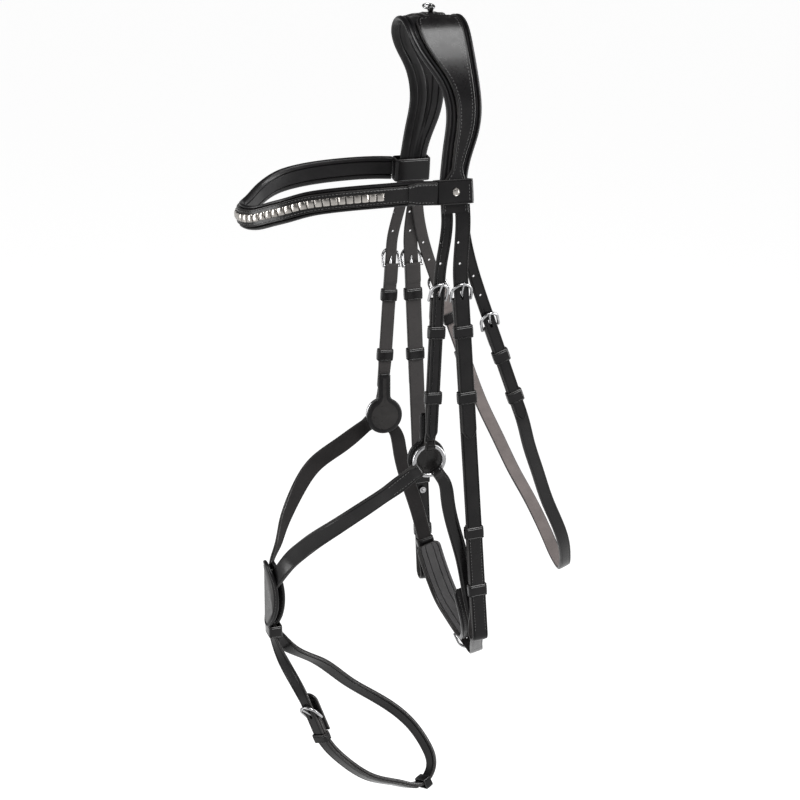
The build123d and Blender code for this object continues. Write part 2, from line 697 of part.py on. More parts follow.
# The jaw strap buckles at the bottom on the off side; its billet comes from the near ring.
JAW_BAR = (35.6, 15.0, -561.0)
JAW_UP = (0.27, -0.83, -0.49)
JAW_HUB = (7.6, 0.0, -450.0)
JAW_OUT = away_from(*JAW_HUB)
JAW_HALF = [
    (-9.0, 66.2, -395.0), (6.0, 62.0, -452.0), (17.0, 56.5, -500.0), (25.5, 49.5, -530.0),
    (30.0, 38.0, -545.0),
]
JAW_PAD_LOW = (33.2, 27.0, -552.5)
JAW_PAD_THICKNESS = 4.0
JAW_PAD_DEPTH = 8.8  # strap's middle to the pad's
JAW_TAIL_STATIONS = 23
JAW_KEEPER_STATIONS = (4, 12, 20)
JAW_STATIONS = 48


def jaw():
    seat = Seat(JAW_BAR, JAW_UP, JAW_OUT(Vector(*JAW_BAR)))
    heading = Vector(math.cos(math.radians(JAW_ANGLE)), 0, math.sin(math.radians(JAW_ANGLE)))
    ring_end = Vector(*RING_CENTRE) + heading * (RING_R + 8)
    start = seat.at(-CHAPE_LENGTH + 1, STRAP_MIDDLE)
    off_points = [tuple(start)] + list(reversed(JAW_HALF)) + [tuple(ring_end)]
    route = through(off_points, JAW_STATIONS, tangents=[seat.up * -1, heading * -1])
    loop = ring_loop(JAW_ANGLE, 10.0, 16.0)
    strap = ribbon(route, JAW_WIDTH, -STRAP / 2, STRAP / 2, JAW_OUT) + seat.place(chape(JAW_WIDTH)) + loop

    tail = lifted(route[:JAW_TAIL_STATIONS], TAIL_MIDDLE - STRAP_MIDDLE, JAW_OUT)
    near_points = [(x, -y, z) for x, y, z in reversed(JAW_HALF)]
    near_end = (ring_end.X, -ring_end.Y, ring_end.Z)
    over = seat.at(TOP_REACH + 4, TAIL_MIDDLE)
    rise = through([over, (36.5, -20, -562)] + near_points + [near_end], 48, tangents=[seat.up, heading * -1])
    billet = ribbon(reverse(rise) + tail, JAW_BILLET_WIDTH, -BILLET / 2, BILLET / 2, JAW_OUT)
    billet = billet + near(loop) - seat.place(tongue_slot())

    pad_half = [Vector(*p) for p in JAW_HALF[2:] + [JAW_PAD_LOW]]
    pad_half = [tuple(p - unit(JAW_OUT(p)) * JAW_PAD_DEPTH) for p in pad_half]
    pad_bottom = (36.5, 0.0, -555.5)
    half = JAW_PAD_THICKNESS / 2
    pad = ribbon(through(both_halves(pad_half, pad_bottom), 40), JAW_PAD_WIDTH, -half, half, JAW_OUT)
    keepers = []
    for i in JAW_KEEPER_STATIONS:
        point, along = route[i]
        place = Seat(point, along, JAW_OUT(point))
        keepers.append(place.place(keeper(JAW_WIDTH, -STRAP / 2 - 0.3, STRAP / 2 + BILLET + 0.6, 8.0)))
    return {
        "jaw_strap": strap,
        "jaw_billet": billet,
        "jaw_pad": pad,
        "jaw_frame": seat.place(buckle_frame(JAW_BILLET_WIDTH)),
        "jaw_tongue": seat.place(buckle_tongue()),
        "jaw_keepers": Compound(children=keepers),
    }


def main():
    nodes = {}
    for section in (crown, cheekpieces, noseband, throatlatch, browband, cross, chin, jaw):
        nodes.update(section())
    os.makedirs("parts", exist_ok=True)
    for name, shape in nodes.items():
        export_step(shape, f"parts/{name}.step")
    return nodes


if __name__ == "__main__":
    main()
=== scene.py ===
"""Snaffle bridle with a crossed noseband: leather, padding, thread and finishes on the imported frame.

Lengths are millimetres until a mesh is made. The horse faces -X, its off side is +Y, +Z is up.
Side pieces are drawn on the off side and mirrored for the near side.
"""
import math

import bpy
import numpy as np
from mathutils import Matrix, Vector

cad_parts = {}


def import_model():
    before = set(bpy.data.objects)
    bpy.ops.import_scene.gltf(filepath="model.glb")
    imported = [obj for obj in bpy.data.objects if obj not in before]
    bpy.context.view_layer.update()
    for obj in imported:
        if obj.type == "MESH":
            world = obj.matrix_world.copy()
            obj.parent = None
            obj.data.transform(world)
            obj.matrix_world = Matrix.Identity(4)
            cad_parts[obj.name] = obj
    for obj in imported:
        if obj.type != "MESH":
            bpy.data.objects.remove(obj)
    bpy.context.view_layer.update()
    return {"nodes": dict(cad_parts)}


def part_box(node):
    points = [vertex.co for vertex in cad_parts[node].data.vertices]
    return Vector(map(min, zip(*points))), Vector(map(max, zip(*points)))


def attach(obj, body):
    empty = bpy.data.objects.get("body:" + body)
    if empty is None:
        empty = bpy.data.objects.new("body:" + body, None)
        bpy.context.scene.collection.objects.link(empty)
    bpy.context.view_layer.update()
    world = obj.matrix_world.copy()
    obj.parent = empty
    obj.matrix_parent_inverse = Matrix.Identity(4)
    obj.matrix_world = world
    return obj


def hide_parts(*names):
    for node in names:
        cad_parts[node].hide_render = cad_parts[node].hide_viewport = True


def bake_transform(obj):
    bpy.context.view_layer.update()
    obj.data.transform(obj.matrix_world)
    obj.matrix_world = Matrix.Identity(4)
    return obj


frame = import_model()

MM = 0.001

# --- leather, as in the frame --------------------------------------------------
STRAP = 3.0
BILLET = 2.0
CHAPE_R = 2.2
STRAP_LOW, STRAP_HIGH = -0.8, 2.2
STRAP_MIDDLE = 0.7
TAIL_HIGH, TAIL_MIDDLE = 4.3, 3.3
CHAPE_LENGTH = 15.0
TOP_REACH = 14.0
HOLE_R = 1.1
HOLE_FIRST = 31.0
HOLE_PITCH = 17.5
KEEPER_GAP = 0.15
KEEPER_WALL = 1.15
KEEPER_HEIGHT = 10.5
RING_R = 13.1
RING_LOOP_R = 3.9

CHEEK_WIDTH, CHEEK_BILLET = 14.0, 13.0
HANGER_WIDTH, HANGER_BILLET = 12.0, 10.0
THROAT_WIDTH, THROAT_BILLET = 11.5, 10.5
CROSS_WIDTH = 15.0
CHIN_WIDTH, CHIN_BILLET = 12.0, 11.0
JAW_WIDTH, JAW_BILLET, JAW_PAD_WIDTH = 13.5, 12.0, 24.0

GRAIN, EDGE, FLESH, THREAD = 0, 1, 2, 3


# =============================================================================
# Curves
# =============================================================================
def vec(*values):
    return np.array(values, float)


def unit(v):
    return v / np.linalg.norm(v)


def square_to(v, along):
    """The part of a vector that is square to another, at unit length."""
    return unit(v - along * np.dot(v, along))


def eased(t):
    """0 to 1 with a slow start and end."""
    t = np.clip(t, 0, 1)
    return t * t * (3 - 2 * t)


def interpolate(table, key):
    """The value at key in a table of (key, value) with falling keys."""
    keys = [-k for k, _ in table]
    return float(np.interp(-key, keys, [v for _, v in table]))


def even(points, count):
    """Points and directions, evenly spaced along a dense polyline."""
    points = np.array(points, float)
    steps = np.linalg.norm(np.diff(points, axis=0), axis=1)
    points = points[np.concatenate([[True], steps > 1e-7])]
    run = np.concatenate([[0], np.cumsum(np.linalg.norm(np.diff(points, axis=0), axis=1))])
    at = np.linspace(0, run[-1], count + 1)
    out = np.stack([np.interp(at, run, points[:, k]) for k in range(3)], axis=1)
    return out, directions(out)


def directions(points):
    along = np.gradient(points, axis=0)
    return along / np.linalg.norm(along, axis=1)[:, None]


def smooth(points, start=None, end=None, fine=24):
    """A dense polyline along a smooth curve through points, with end directions if given."""
    p = np.array(points, float)
    n = len(p)
    h = np.linalg.norm(np.diff(p, axis=0), axis=1)
    slope = np.diff(p, axis=0) / h[:, None]
    system = np.zeros((n, n))
    right = np.zeros((n, 3))
    for i in range(1, n - 1):
        system[i, i - 1:i + 2] = h[i], 2 * (h[i - 1] + h[i]), h[i - 1]
        right[i] = 3 * (h[i] * slope[i - 1] + h[i - 1] * slope[i])
    for row, given, other, chord in ((0, start, 1, slope[0]), (n - 1, end, n - 2, slope[-1])):
        if given is None:
            system[row, row], system[row, other] = 2, 1
            right[row] = 3 * chord
        else:
            system[row, row] = 1
            right[row] = unit(vec(*given))
    m = np.linalg.solve(system, right)
    out = []
    for i in range(n - 1):
        t = np.linspace(0, 1, fine, endpoint=False)[:, None]
        out.append(
            (2 * t**3 - 3 * t**2 + 1) * p[i]
            + (t**3 - 2 * t**2 + t) * h[i] * m[i]
            + (3 * t**2 - 2 * t**3) * p[i + 1]
            + (t**3 - t**2) * h[i] * m[i + 1]
        )
    return np.concatenate(out + [p[-1:]])


class Route:
    """Places along a strap: points, directions, and outward directions square to them."""

    def __init__(self, points, outward=None, normals=None, along=None):
        self.p = np.array(points, float)
        self.t = directions(self.p) if along is None else along
        if normals is None:
            normals = [outward(p) for p in self.p]
        self.n = np.array([square_to(n, t) for n, t in zip(normals, self.t)])
        self.a = np.cross(self.n, self.t)
        self.run = np.concatenate([[0], np.cumsum(np.linalg.norm(np.diff(self.p, axis=0), axis=1))])

    def part(self, first, last):
        other = object.__new__(Route)
        for name in ("p", "t", "n", "a", "run"):
            setattr(other, name, getattr(self, name)[first:last])
        return other

    def offset(self, across, rise):
        """A line beside the route."""
        return self.p + self.a * across + self.n * rise


def to_right(_point):
    return vec(0, 1, 0)


def away_from(*centre):
    return lambda point: point - vec(*centre)


def level_from(x, y):
    return lambda point: vec(point[0] - x, point[1] - y, 0)


class Seat:
    """A place on a strap: x across it, y up it, z outward."""

    def __init__(self, origin, up, outward=(0, 1, 0)):
        self.o = vec(*origin)
        self.up = unit(vec(*up))
        self.out = square_to(vec(*outward), self.up)
        self.x = np.cross(self.up, self.out)

    def at(self, up, out=0.0, across=0.0):
        return self.o + self.x * across + self.up * up + self.out * out


# =============================================================================
# Meshes
# =============================================================================
class Build:
    """Vertices and faces of one piece, in millimetres."""

    def __init__(self):
        self.v, self.f, self.m = [], [], []

    def add(self, vertices, faces, slots):
        base = len(self.v)
        self.v.extend(np.asarray(vertices, float).tolist())
        self.f.extend([[base + i for i in face] for face in faces])
        self.m.extend(slots if isinstance(slots, list) else [slots] * len(faces))

    def sweep(self, rings, slots, closed=False):
        """A skin over rings of points; slots give the material of each strip round the ring."""
        rings = np.asarray(rings, float)
        count, size = rings.shape[:2]
        faces, mats = [], []
        for i in range(count if closed else count - 1):
            j = (i + 1) % count
            for k in range(size):
                m = (k + 1) % size
                faces.append([i * size + k, i * size + m, j * size + m, j * size + k])
                mats.append(slots[k])
        if not closed:
            faces += [list(range(size))[::-1], [(count - 1) * size + k for k in range(size)]]
            mats += [EDGE, EDGE]
        self.add(rings.reshape(-1, 3), faces, mats)

    def stitches(self, line, normals, pitch=2.8, length=2.0, radius=0.24):
        """Thread showing between the awl holes along a line."""
        line = np.asarray(line, float)
        run = np.concatenate([[0], np.cumsum(np.linalg.norm(np.diff(line, axis=0), axis=1))])
        count = int(run[-1] // pitch)
        for i in range(count):
            ends = []
            for s in ((i + 0.5) * pitch - length / 2, (i + 0.5) * pitch + length / 2):
                ends.append(vec(*[np.interp(s, run, line[:, k]) for k in range(3)]))
            n = vec(*[np.interp((i + 0.5) * pitch, run, normals[:, k]) for k in range(3)])
            along = unit(ends[1] - ends[0])
            n = square_to(n, along)
            side = np.cross(n, along)
            rings = []
            for s, r, rise in (
                (0, 0.25, -0.25), (0.1, 0.8, 0.0), (0.5, 1.0, 0.1), (0.9, 0.8, 0.0), (1, 0.25, -0.25)
            ):
                middle = ends[0] + along * (length * s) + n * rise
                angle = np.linspace(0, 2 * np.pi, 7)[:-1]
                rings.append([middle + (side * math.cos(w) + n * math.sin(w)) * radius * r for w in angle])
            self.sweep(rings, [THREAD] * 6)

    def sew(self, route, rows, across, high, radius=0.22):
        """Two rows of stitches at a distance each side of a route's middle, on top of the strap."""
        for side in (-1, 1):
            line = []
            for i in rows:
                line.append(route.p[i] + route.a[i] * side * across[i] + route.n[i] * (high[i] + 0.12))
            self.stitches(line, route.n[rows], pitch=2.9, length=2.1, radius=radius)

    def make(self, name, materials, mirror=False, sharp=40.0):
        v = np.array(self.v) * MM
        f = self.f
        if mirror:
            v = v * vec(1, -1, 1)
            f = [face[::-1] for face in f]
        mesh = bpy.data.meshes.new(name)
        mesh.from_pydata(v.tolist(), [], f)
        for material in materials:
            mesh.materials.append(material)
        mesh.polygons.foreach_set("material_index", self.m)
        mesh.validate()
        mesh.shade_smooth()
        mesh.set_sharp_from_angle(angle=math.radians(sharp))
        obj = bpy.data.objects.new(name, mesh)
        bpy.context.scene.collection.objects.link(obj)
        return obj


def strap_profile(half, low, high, crease, groove, radius, puff, slots, both=False):
    """Outline of a flat strap: (across, rise, slot), low side first, then round to the grain side."""
    k = min(1.0, half / (crease + 1.6))
    thick = high - low
    c, r = crease * k, min(radius * k, thick * 0.35)
    g, puff, seam = min(groove * k, thick * 0.2), min(puff, thick * 0.2), min(0.16, thick * 0.06)
    grain, edge, flesh = slots
    right = [
        (half - r, low, edge), (half - 0.3 * r, low + 0.3 * r, edge), (half, low + r, edge),
        (half, (low + high) / 2 - seam, edge), (half - 0.14 * k, (low + high) / 2, edge),
        (half, (low + high) / 2 + seam, edge), (half, high - r, edge),
        (half - 0.3 * r, high - 0.3 * r, edge), (half - r, high, grain),
        (half - c + 0.45 * k, high, grain), (half - c + 0.16 * k, high - g, grain),
        (half - c - 0.16 * k, high - g, grain), (half - c - 0.5 * k, high + puff * 0.5, grain),
        (half * 0.35, high + puff, grain),
    ]
    left = [(-a, n, None) for a, n, _ in reversed(right)]
    left_slots = [grain] * 5 + [edge] * 8 + [flesh]
    left = [(a, n, s) for (a, n, _), s in zip(left, left_slots)]
    u = g if both else 0.0
    under = [(c - 0.16 * k, low + u), (c + 0.16 * k, low + u), (c + 0.5 * k, low - u * 0.4)]
    bottom = [(d - half, n, flesh) for d, n in under] + [(half - d, n, flesh) for d, n in reversed(under)]
    return bottom + right + left


def as_list(value, count):
    return np.full(count, float(value)) if np.isscalar(value) else np.asarray(value, float)


def strap(
    build, route, width, low, high,
    slots=(GRAIN, EDGE, FLESH), crease=1.5, groove=0.24, radius=0.7, puff=0.12, both=False,
):
    """A flat strap along a route. width, low and high are one value or one for each place."""
    count = len(route.p)
    width, low, high = (as_list(value, count) for value in (width, low, high))
    rings = []
    for i in range(count):
        outline = strap_profile(width[i] / 2, low[i], high[i], crease, groove, radius, puff, slots, both)
        rings.append([route.p[i] + route.a[i] * a + route.n[i] * n for a, n, _ in outline])
    build.sweep(rings, [s for _, _, s in outline])


def tip_widths(route, width, tip, at_end=True, power=1.9):
    """Widths that narrow to a point over the last tip millimetres."""
    left = (route.run[-1] - route.run) if at_end else route.run - route.run[0]
    t = np.clip(1 - left / tip, 0, 1)
    return width * np.clip(1 - t**power, 0.02, 1)


def fine_end(start, end, step=3.0, tip=9.0):
    """Points along a straight line, closer together over its last tip millimetres."""
    start, end = vec(*start), vec(*end)
    length = np.linalg.norm(end - start)
    plain = np.linspace(0, length - tip, max(2, int((length - tip) / step) + 1))
    close = length - tip + tip * np.sin(np.linspace(0, np.pi / 2, 12))[1:]
    return [start + (end - start) * s / length for s in np.concatenate([plain, close])]


def end_bulge(distance, radius, plain_low, plain_high, neck):
    """Low and high of a strap's end folded round a wire, by distance past the wire's middle."""
    low, high = [], []
    for d in distance:
        if d <= 0:
            r = math.sqrt(max(radius**2 - d**2, 0.0004))
            low.append(-r)
            high.append(r)
        else:
            t = eased(d / neck)
            low.append(-radius + (plain_low + radius) * t)
            high.append(radius + (plain_high - radius) * t)
    return np.array(low), np.array(high)


def keeper(build, seat, width, low, high, y, height=KEEPER_HEIGHT, wall=KEEPER_WALL):
    """A band of leather round a strap that lies between low and high."""
    x0, z0, z1 = width / 2 + KEEPER_GAP, low - KEEPER_GAP, high + KEEPER_GAP
    r = 1.1
    path, out = [], []
    for cx, cz, a0 in (
        (x0 - r, z1 - r, 0), (-x0 + r, z1 - r, 90), (-x0 + r, z0 + r, 180), (x0 - r, z0 + r, 270)
    ):
        for step in range(6):
            a = math.radians(a0 + step * 18)
            out.append((math.cos(a), math.sin(a)))
            path.append((cx + r * math.cos(a), cz + r * math.sin(a)))
    h = height / 2
    outline = [
        (-h + 0.3, 0.0, FLESH), (h - 0.3, 0.0, EDGE), (h, 0.35, EDGE), (h, wall - 0.45, EDGE),
        (h - 0.45, wall, GRAIN), (h - 1.0, wall, GRAIN), (h - 1.2, wall - 0.22, GRAIN),
        (h - 1.5, wall - 0.22, GRAIN), (h - 1.8, wall + 0.06, GRAIN), (0.0, wall + 0.14, GRAIN),
        (-h + 1.8, wall + 0.06, GRAIN), (-h + 1.5, wall - 0.22, GRAIN), (-h + 1.2, wall - 0.22, GRAIN),
        (-h + 1.0, wall, GRAIN), (-h + 0.45, wall, EDGE), (-h, wall - 0.45, EDGE), (-h, 0.35, EDGE),
    ]
    rings = []
    for (px, pz), (ox, oz) in zip(path, out):
        rings.append([seat.at(y + u, pz + oz * n, px + ox * n) for u, n, _ in outline])
    build.sweep(rings, [s for _, _, s in outline], closed=True)


def punch(obj, cutters):
    """Cuts holes through a leather piece.

    Each cutter is (centre, axis, up, radius across, radius along, depth).
    """
    build = Build()
    for centre, axis, up, rx, ry, depth in cutters:
        side = np.cross(up, axis)
        angle = np.linspace(0, 2 * np.pi, 21)[:-1]
        rings = []
        power = 1.0 if rx == ry else 0.35  # a long hole has straight sides
        x = rx * np.sign(np.cos(angle)) * np.abs(np.cos(angle)) ** power
        y = ry * np.sign(np.sin(angle)) * np.abs(np.sin(angle)) ** power
        for d in (-depth, depth):
            rings.append([centre + axis * d + side * u + up * v for u, v in zip(x, y)])
        build.sweep(rings, [EDGE] * len(angle))
    mirror = obj.name.startswith("near")
    cutter = build.make("cutter", [], mirror=mirror)
    for polygon in cutter.data.polygons:
        polygon.material_index = EDGE
    cutter.data.materials.append(obj.data.materials[0])
    cutter.data.materials.append(obj.data.materials[1])
    modifier = obj.modifiers.new("holes", "BOOLEAN")
    modifier.object = cutter
    modifier.operation = "DIFFERENCE"
    modifier.solver = "EXACT"
    bpy.context.view_layer.update()
    mesh = bpy.data.meshes.new_from_object(obj.evaluated_get(bpy.context.evaluated_depsgraph_get()))
    obj.modifiers.clear()
    if not len(obj.data.polygons) < len(mesh.polygons) < len(obj.data.polygons) + 2000:
        raise RuntimeError(f"the holes in {obj.name} failed")
    old = obj.data
    obj.data = mesh
    mesh.name = obj.name
    bpy.data.meshes.remove(old)
    bpy.data.objects.remove(cutter)
    mesh.shade_smooth()
    mesh.set_sharp_from_angle(angle=math.radians(40))


def seat_holes(seat, count, out=TAIL_MIDDLE):
    """The tongue's slot over the bar, and punched holes, one pitch apart up the billet."""
    holes = [(seat.at(4.4, out), seat.out, seat.up, 1.25, 3.9, 3.0)]
    for i in range(count):
        holes.append((seat.at(HOLE_FIRST + i * HOLE_PITCH, out), seat.out, seat.up, HOLE_R, HOLE_R, 3.0))
    return holes


# =============================================================================
# Materials
# =============================================================================
class Nodes:
    """The nodes of one procedural material."""

    def __init__(self, name):
        self.material = bpy.data.materials.new(name)
        self.material.use_nodes = True
        self.tree = self.material.node_tree
        self.shader = self.tree.nodes["Principled BSDF"]
        self.place = self.tree.nodes.new("ShaderNodeTexCoord").outputs["Object"]

    def put(self, node, values):
        """Links or sets a node's inputs, by name."""
        for key, value in values.items():
            socket = node.inputs[key.replace("_", " ")]
            if isinstance(value, bpy.types.NodeSocket):
                self.tree.links.new(value, socket)
            else:
                socket.default_value = value

    def node(self, kind, **inputs):
        node = self.tree.nodes.new(kind)
        self.put(node, inputs)
        return node

    def noise(self, size, detail=4.0, rough=0.6, stretch=None):
        """Noise with features of about size millimetres."""
        place = self.place
        if stretch:
            mapping = self.node("ShaderNodeMapping", Vector=place)
            mapping.inputs["Scale"].default_value = stretch
            place = mapping.outputs[0]
        return self.node(
            "ShaderNodeTexNoise", Vector=place, Scale=1000.0 / size, Detail=detail, Roughness=rough
        ).outputs[0]

    def cells(self, size, feature="F1"):
        node = self.node("ShaderNodeTexVoronoi", Vector=self.place, Scale=1000.0 / size)
        node.feature = feature
        return node.outputs["Distance"]

    def ramp(self, value, low, high, out_low, out_high):
        node = self.node("ShaderNodeMapRange", Value=value)
        self.put(node, {"From Min": low, "From Max": high, "To Min": out_low, "To Max": out_high})
        return node.outputs[0]

    def colours(self, value, low, high):
        node = self.tree.nodes.new("ShaderNodeMix")
        node.data_type = "RGBA"
        self.tree.links.new(value, node.inputs["Factor"])
        node.inputs["A"].default_value = (*low, 1)
        node.inputs["B"].default_value = (*high, 1)
        return node.outputs["Result"]

    def bump(self, value, depth, strength=1.0, under=None):
        """Relief of depth millimetres."""
        inputs = {"Height": value, "Distance": depth * MM, "Strength": strength}
        if under:
            inputs["Normal"] = under
        return self.node("ShaderNodeBump", **inputs).outputs[0]

    def finish(self, **sockets):
        self.put(self.shader, sockets)
        return self.material


def leather(name, dark, light, rough, grain_size, grain_depth, wrinkle_depth):
    """Dyed and waxed grain leather."""
    n = Nodes(name)
    broad = n.noise(22.0, 3.0)
    streak = n.noise(6.0, 5.0, 0.65)
    colour = n.colours(n.ramp(broad, 0.35, 0.7, 0.0, 1.0), dark, light)
    gloss = n.ramp(streak, 0.3, 0.75, rough[0], rough[1])
    relief = n.bump(n.cells(grain_size), grain_depth)
    relief = n.bump(n.noise(0.28, 2.0), grain_depth * 0.5, under=relief)
    relief = n.bump(n.noise(5.0, 3.0, 0.5), wrinkle_depth, under=relief)
    return n.finish(
        Base_Color=colour, Roughness=gloss, Normal=relief, Specular_IOR_Level=0.17, Coat_Weight=0.08,
        Coat_Roughness=0.16
    )


def nap(name, dark, light, size, depth, rough=0.88, shine=0.3, sheen=0.06):
    """Flesh side or suede, with short fibres."""
    n = Nodes(name)
    fibre = n.noise(size, 6.0, 0.75)
    cloud = n.noise(14.0, 3.0)
    mixed = n.node("ShaderNodeMath")
    mixed.operation = "ADD"
    n.tree.links.new(n.ramp(fibre, 0.3, 0.7, 0.0, 0.55), mixed.inputs[0])
    n.tree.links.new(n.ramp(cloud, 0.3, 0.7, 0.0, 0.45), mixed.inputs[1])
    relief = n.bump(fibre, depth)
    return n.finish(
        Base_Color=n.colours(mixed.outputs[0], dark, light),
        Roughness=n.ramp(cloud, 0.3, 0.7, rough - 0.08, rough + 0.06),
        Normal=relief, Specular_IOR_Level=shine, Sheen_Weight=sheen, Sheen_Roughness=0.5,
    )


def metal(name, dark, light, rough, scratch_depth):
    """Polished metal with fine rubbing marks."""
    n = Nodes(name)
    cloud = n.noise(7.0, 3.0)
    marks = n.noise(0.7, 5.0, 0.7, stretch=(1.0, 0.35, 2.6))
    relief = n.bump(marks, scratch_depth)
    return n.finish(
        Base_Color=n.colours(n.ramp(cloud, 0.3, 0.7, 0.0, 1.0), dark, light),
        Roughness=n.ramp(n.noise(3.0, 4.0), 0.3, 0.75, rough[0], rough[1]),
        Normal=relief, Metallic=1.0,
    )


def thread():
    n = Nodes("waxed_thread")
    ply = n.noise(0.35, 3.0, 0.6, stretch=(1.0, 1.0, 0.5))
    return n.finish(
        Base_Color=n.colours(n.ramp(ply, 0.3, 0.7, 0.0, 1.0), (0.045, 0.044, 0.044), (0.10, 0.098, 0.097)),
        Roughness=n.ramp(ply, 0.3, 0.7, 0.5, 0.75), Normal=n.bump(ply, 0.06),
    )


STRAP_GRAIN = leather(
    "black_grain_leather", (0.0030, 0.0028, 0.0031), (0.0065, 0.0060, 0.0062), (0.24, 0.36), 0.75, 0.012,
    0.035,
)
GLOSSY_GRAIN = leather(
    "polished_keeper_leather", (0.0030, 0.0028, 0.0031), (0.0060, 0.0056, 0.0058), (0.15, 0.25), 0.75,
    0.008, 0.02,
)
SOFT_GRAIN = leather(
    "soft_padded_leather", (0.0036, 0.0034, 0.0038), (0.0075, 0.0070, 0.0073), (0.30, 0.43), 1.1, 0.026,
    0.10,
)
# Black edge dye, painted lighter than the grain as a painted highlight along every strap edge
EDGE_DYE_AND_HIGHLIGHT = leather(
    "edge_dye_and_painted_highlight", (0.0125, 0.0118, 0.0118), (0.0270, 0.0255, 0.0250), (0.24, 0.38), 0.4, 0.02, 0.03
)
FLESH_SIDE = nap("flesh_side", (0.016, 0.0148, 0.0148), (0.036, 0.0325, 0.032), 0.8, 0.05)
PALE_FLESH = nap("pale_flesh_side", (0.070, 0.060, 0.058), (0.150, 0.129, 0.124), 0.8, 0.06)
DARK_FLESH = nap(
    "dark_flesh_side", (0.009, 0.0085, 0.0085), (0.020, 0.0185, 0.0185), 0.8, 0.05, 0.86, 0.08, 0.0
)
SUEDE = nap("grey_lining", (0.020, 0.0195, 0.020), (0.056, 0.054, 0.055), 0.6, 0.06)
THREAD_GREY = thread()
STEEL = metal("polished_steel", (0.26, 0.26, 0.265), (0.38, 0.38, 0.385), (0.22, 0.34), 0.003)
SILVER = metal("polished_silver", (0.27, 0.255, 0.24), (0.42, 0.40, 0.375), (0.22, 0.34), 0.004)

STRAP_FINISH = [STRAP_GRAIN, EDGE_DYE_AND_HIGHLIGHT, FLESH_SIDE, THREAD_GREY]
THROAT_FINISH = [STRAP_GRAIN, EDGE_DYE_AND_HIGHLIGHT, PALE_FLESH, THREAD_GREY]
LINED_FINISH = [STRAP_GRAIN, EDGE_DYE_AND_HIGHLIGHT, DARK_FLESH, THREAD_GREY]
KEEPER_FINISH = [GLOSSY_GRAIN, EDGE_DYE_AND_HIGHLIGHT, DARK_FLESH, THREAD_GREY]
PAD_FINISH = [SOFT_GRAIN, EDGE_DYE_AND_HIGHLIGHT, SOFT_GRAIN, THREAD_GREY]
JAW_FINISH = [SOFT_GRAIN, EDGE_DYE_AND_HIGHLIGHT, SUEDE, THREAD_GREY]


def place(
    build, name, body, nodes, finish, slot="bridle_leather", mirror=False, fill=None, blend=None, holes=(),
    sharp=40.0,
):
    """Makes a piece and punches its holes; fixes it to a body, or with blend given bakes its transform and
    leaves it unparented; hides the CAD nodes it replaces.
    """
    obj = build.make(name, finish, mirror=mirror, sharp=sharp)
    if holes:
        punch(obj, holes)
    if blend:
        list(blend)
        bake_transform(obj)
    else:
        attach(obj, body)
    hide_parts(*nodes)
    return obj


SIDES = (("near", True), ("off", False))


def on_side(point, mirrored):
    return (point[0], -point[1] if mirrored else point[1], point[2])


# =============================================================================
# Crown
# =============================================================================
CROWN_LINE = [
    (0, 0), (15, -4), (28, -20), (36, -36), (42, -54), (45, -75), (48, -103), (51, -130), (55, -152),
]
CROWN_FRONT = [
    (0, -31.5), (-9, -30.5), (-28, -22.5), (-44, -12.5), (-58, -7.5), (-72, -6.2), (-95, -9.5),
    (-112, -12.0), (-130, -14.0), (-160, -14.0),
]
CROWN_REAR = [
    (0, 22.5), (-30, 23.0), (-50, 24.0), (-70, 24.4), (-88, 21.0), (-103, 15.5), (-120, 11.0), (-130, 10.0),
    (-160, 10.0),
]
PAD_END_Z, PANEL_END_Z = -131.0, -150.0
PANEL_LOW, PANEL_HIGH, PANEL_INSET = 4.5, 6.7, 6.5
FRONT_ROLL = 1.35
ROOT_MIDDLE = 2.8
PANEL_START_Y = 9.0

CROWN_CURVE = smooth([(0, -y, z) for y, z in reversed(CROWN_LINE[1:])] + [(0, y, z) for y, z in CROWN_LINE])


def smooth_edge(table):
    """The edge's x at any height, smoothed."""
    line = smooth([(x, 0, z) for z, x in table])
    return [(float(z), float(x)) for x, _, z in line]


FRONT_EDGE, REAR_EDGE = smooth_edge(CROWN_FRONT), smooth_edge(CROWN_REAR)


def crown_out(point):
    """Outward from a line inside the crown's arch."""
    return vec(0, point[1], point[2] + 70)


def crown_ring(point, along, outline):
    """Places for (share of width, extra, rise) round the crown's section."""
    normal = square_to(crown_out(point), along)
    front, rear = interpolate(FRONT_EDGE, point[2]), interpolate(REAR_EDGE, point[2])
    ring = []
    for side, inset, rise in outline:
        if side == 0:
            x = (front + rear) / 2 + inset
        else:
            x = front + inset * FRONT_ROLL if side < 0 else rear - inset
        ring.append(point + vec(x, 0, 0) + normal * rise)
    return ring


def crown_padding():
    """The padded underlay: a rolled rim, then a piped ridge beside the panel."""
    half = [
        (2.6, 0.1), (1.1, 0.5), (0.25, 1.3), (0.0, 2.4), (0.35, 3.5), (1.2, 4.35), (2.2, 4.5), (3.0, 4.0),
        (3.45, 3.0), (3.75, 2.9), (4.2, 3.9), (4.9, 4.5), (5.6, 4.2), (6.0, 3.2), (6.4, 3.0), (9.5, 3.9),
    ]
    under = [(12.5, -0.1), (11.4, 0.9), (10.3, -0.1), (6.6, -0.1), (5.6, 0.9), (4.6, -0.1)]
    outline = [(-1, a, n) for a, n in half] + [(0, 0, 4.1)] + [(1, a, n) for a, n in reversed(half)]
    outline += [(1, a, n) for a, n in reversed(under)] + [(0, 0, -0.1)] + [(-1, a, n) for a, n in under]
    points, along = even(CROWN_CURVE, 150)
    rings = [crown_ring(p, t, outline) for p, t in zip(points, along) if p[2] > PAD_END_Z]
    build = Build()
    build.sweep(rings, [GRAIN] * len(outline))
    return build


def panel_inset(z):
    return 0.3 + (PANEL_INSET - 0.3) * eased((z - PAD_END_Z) / 20.0)


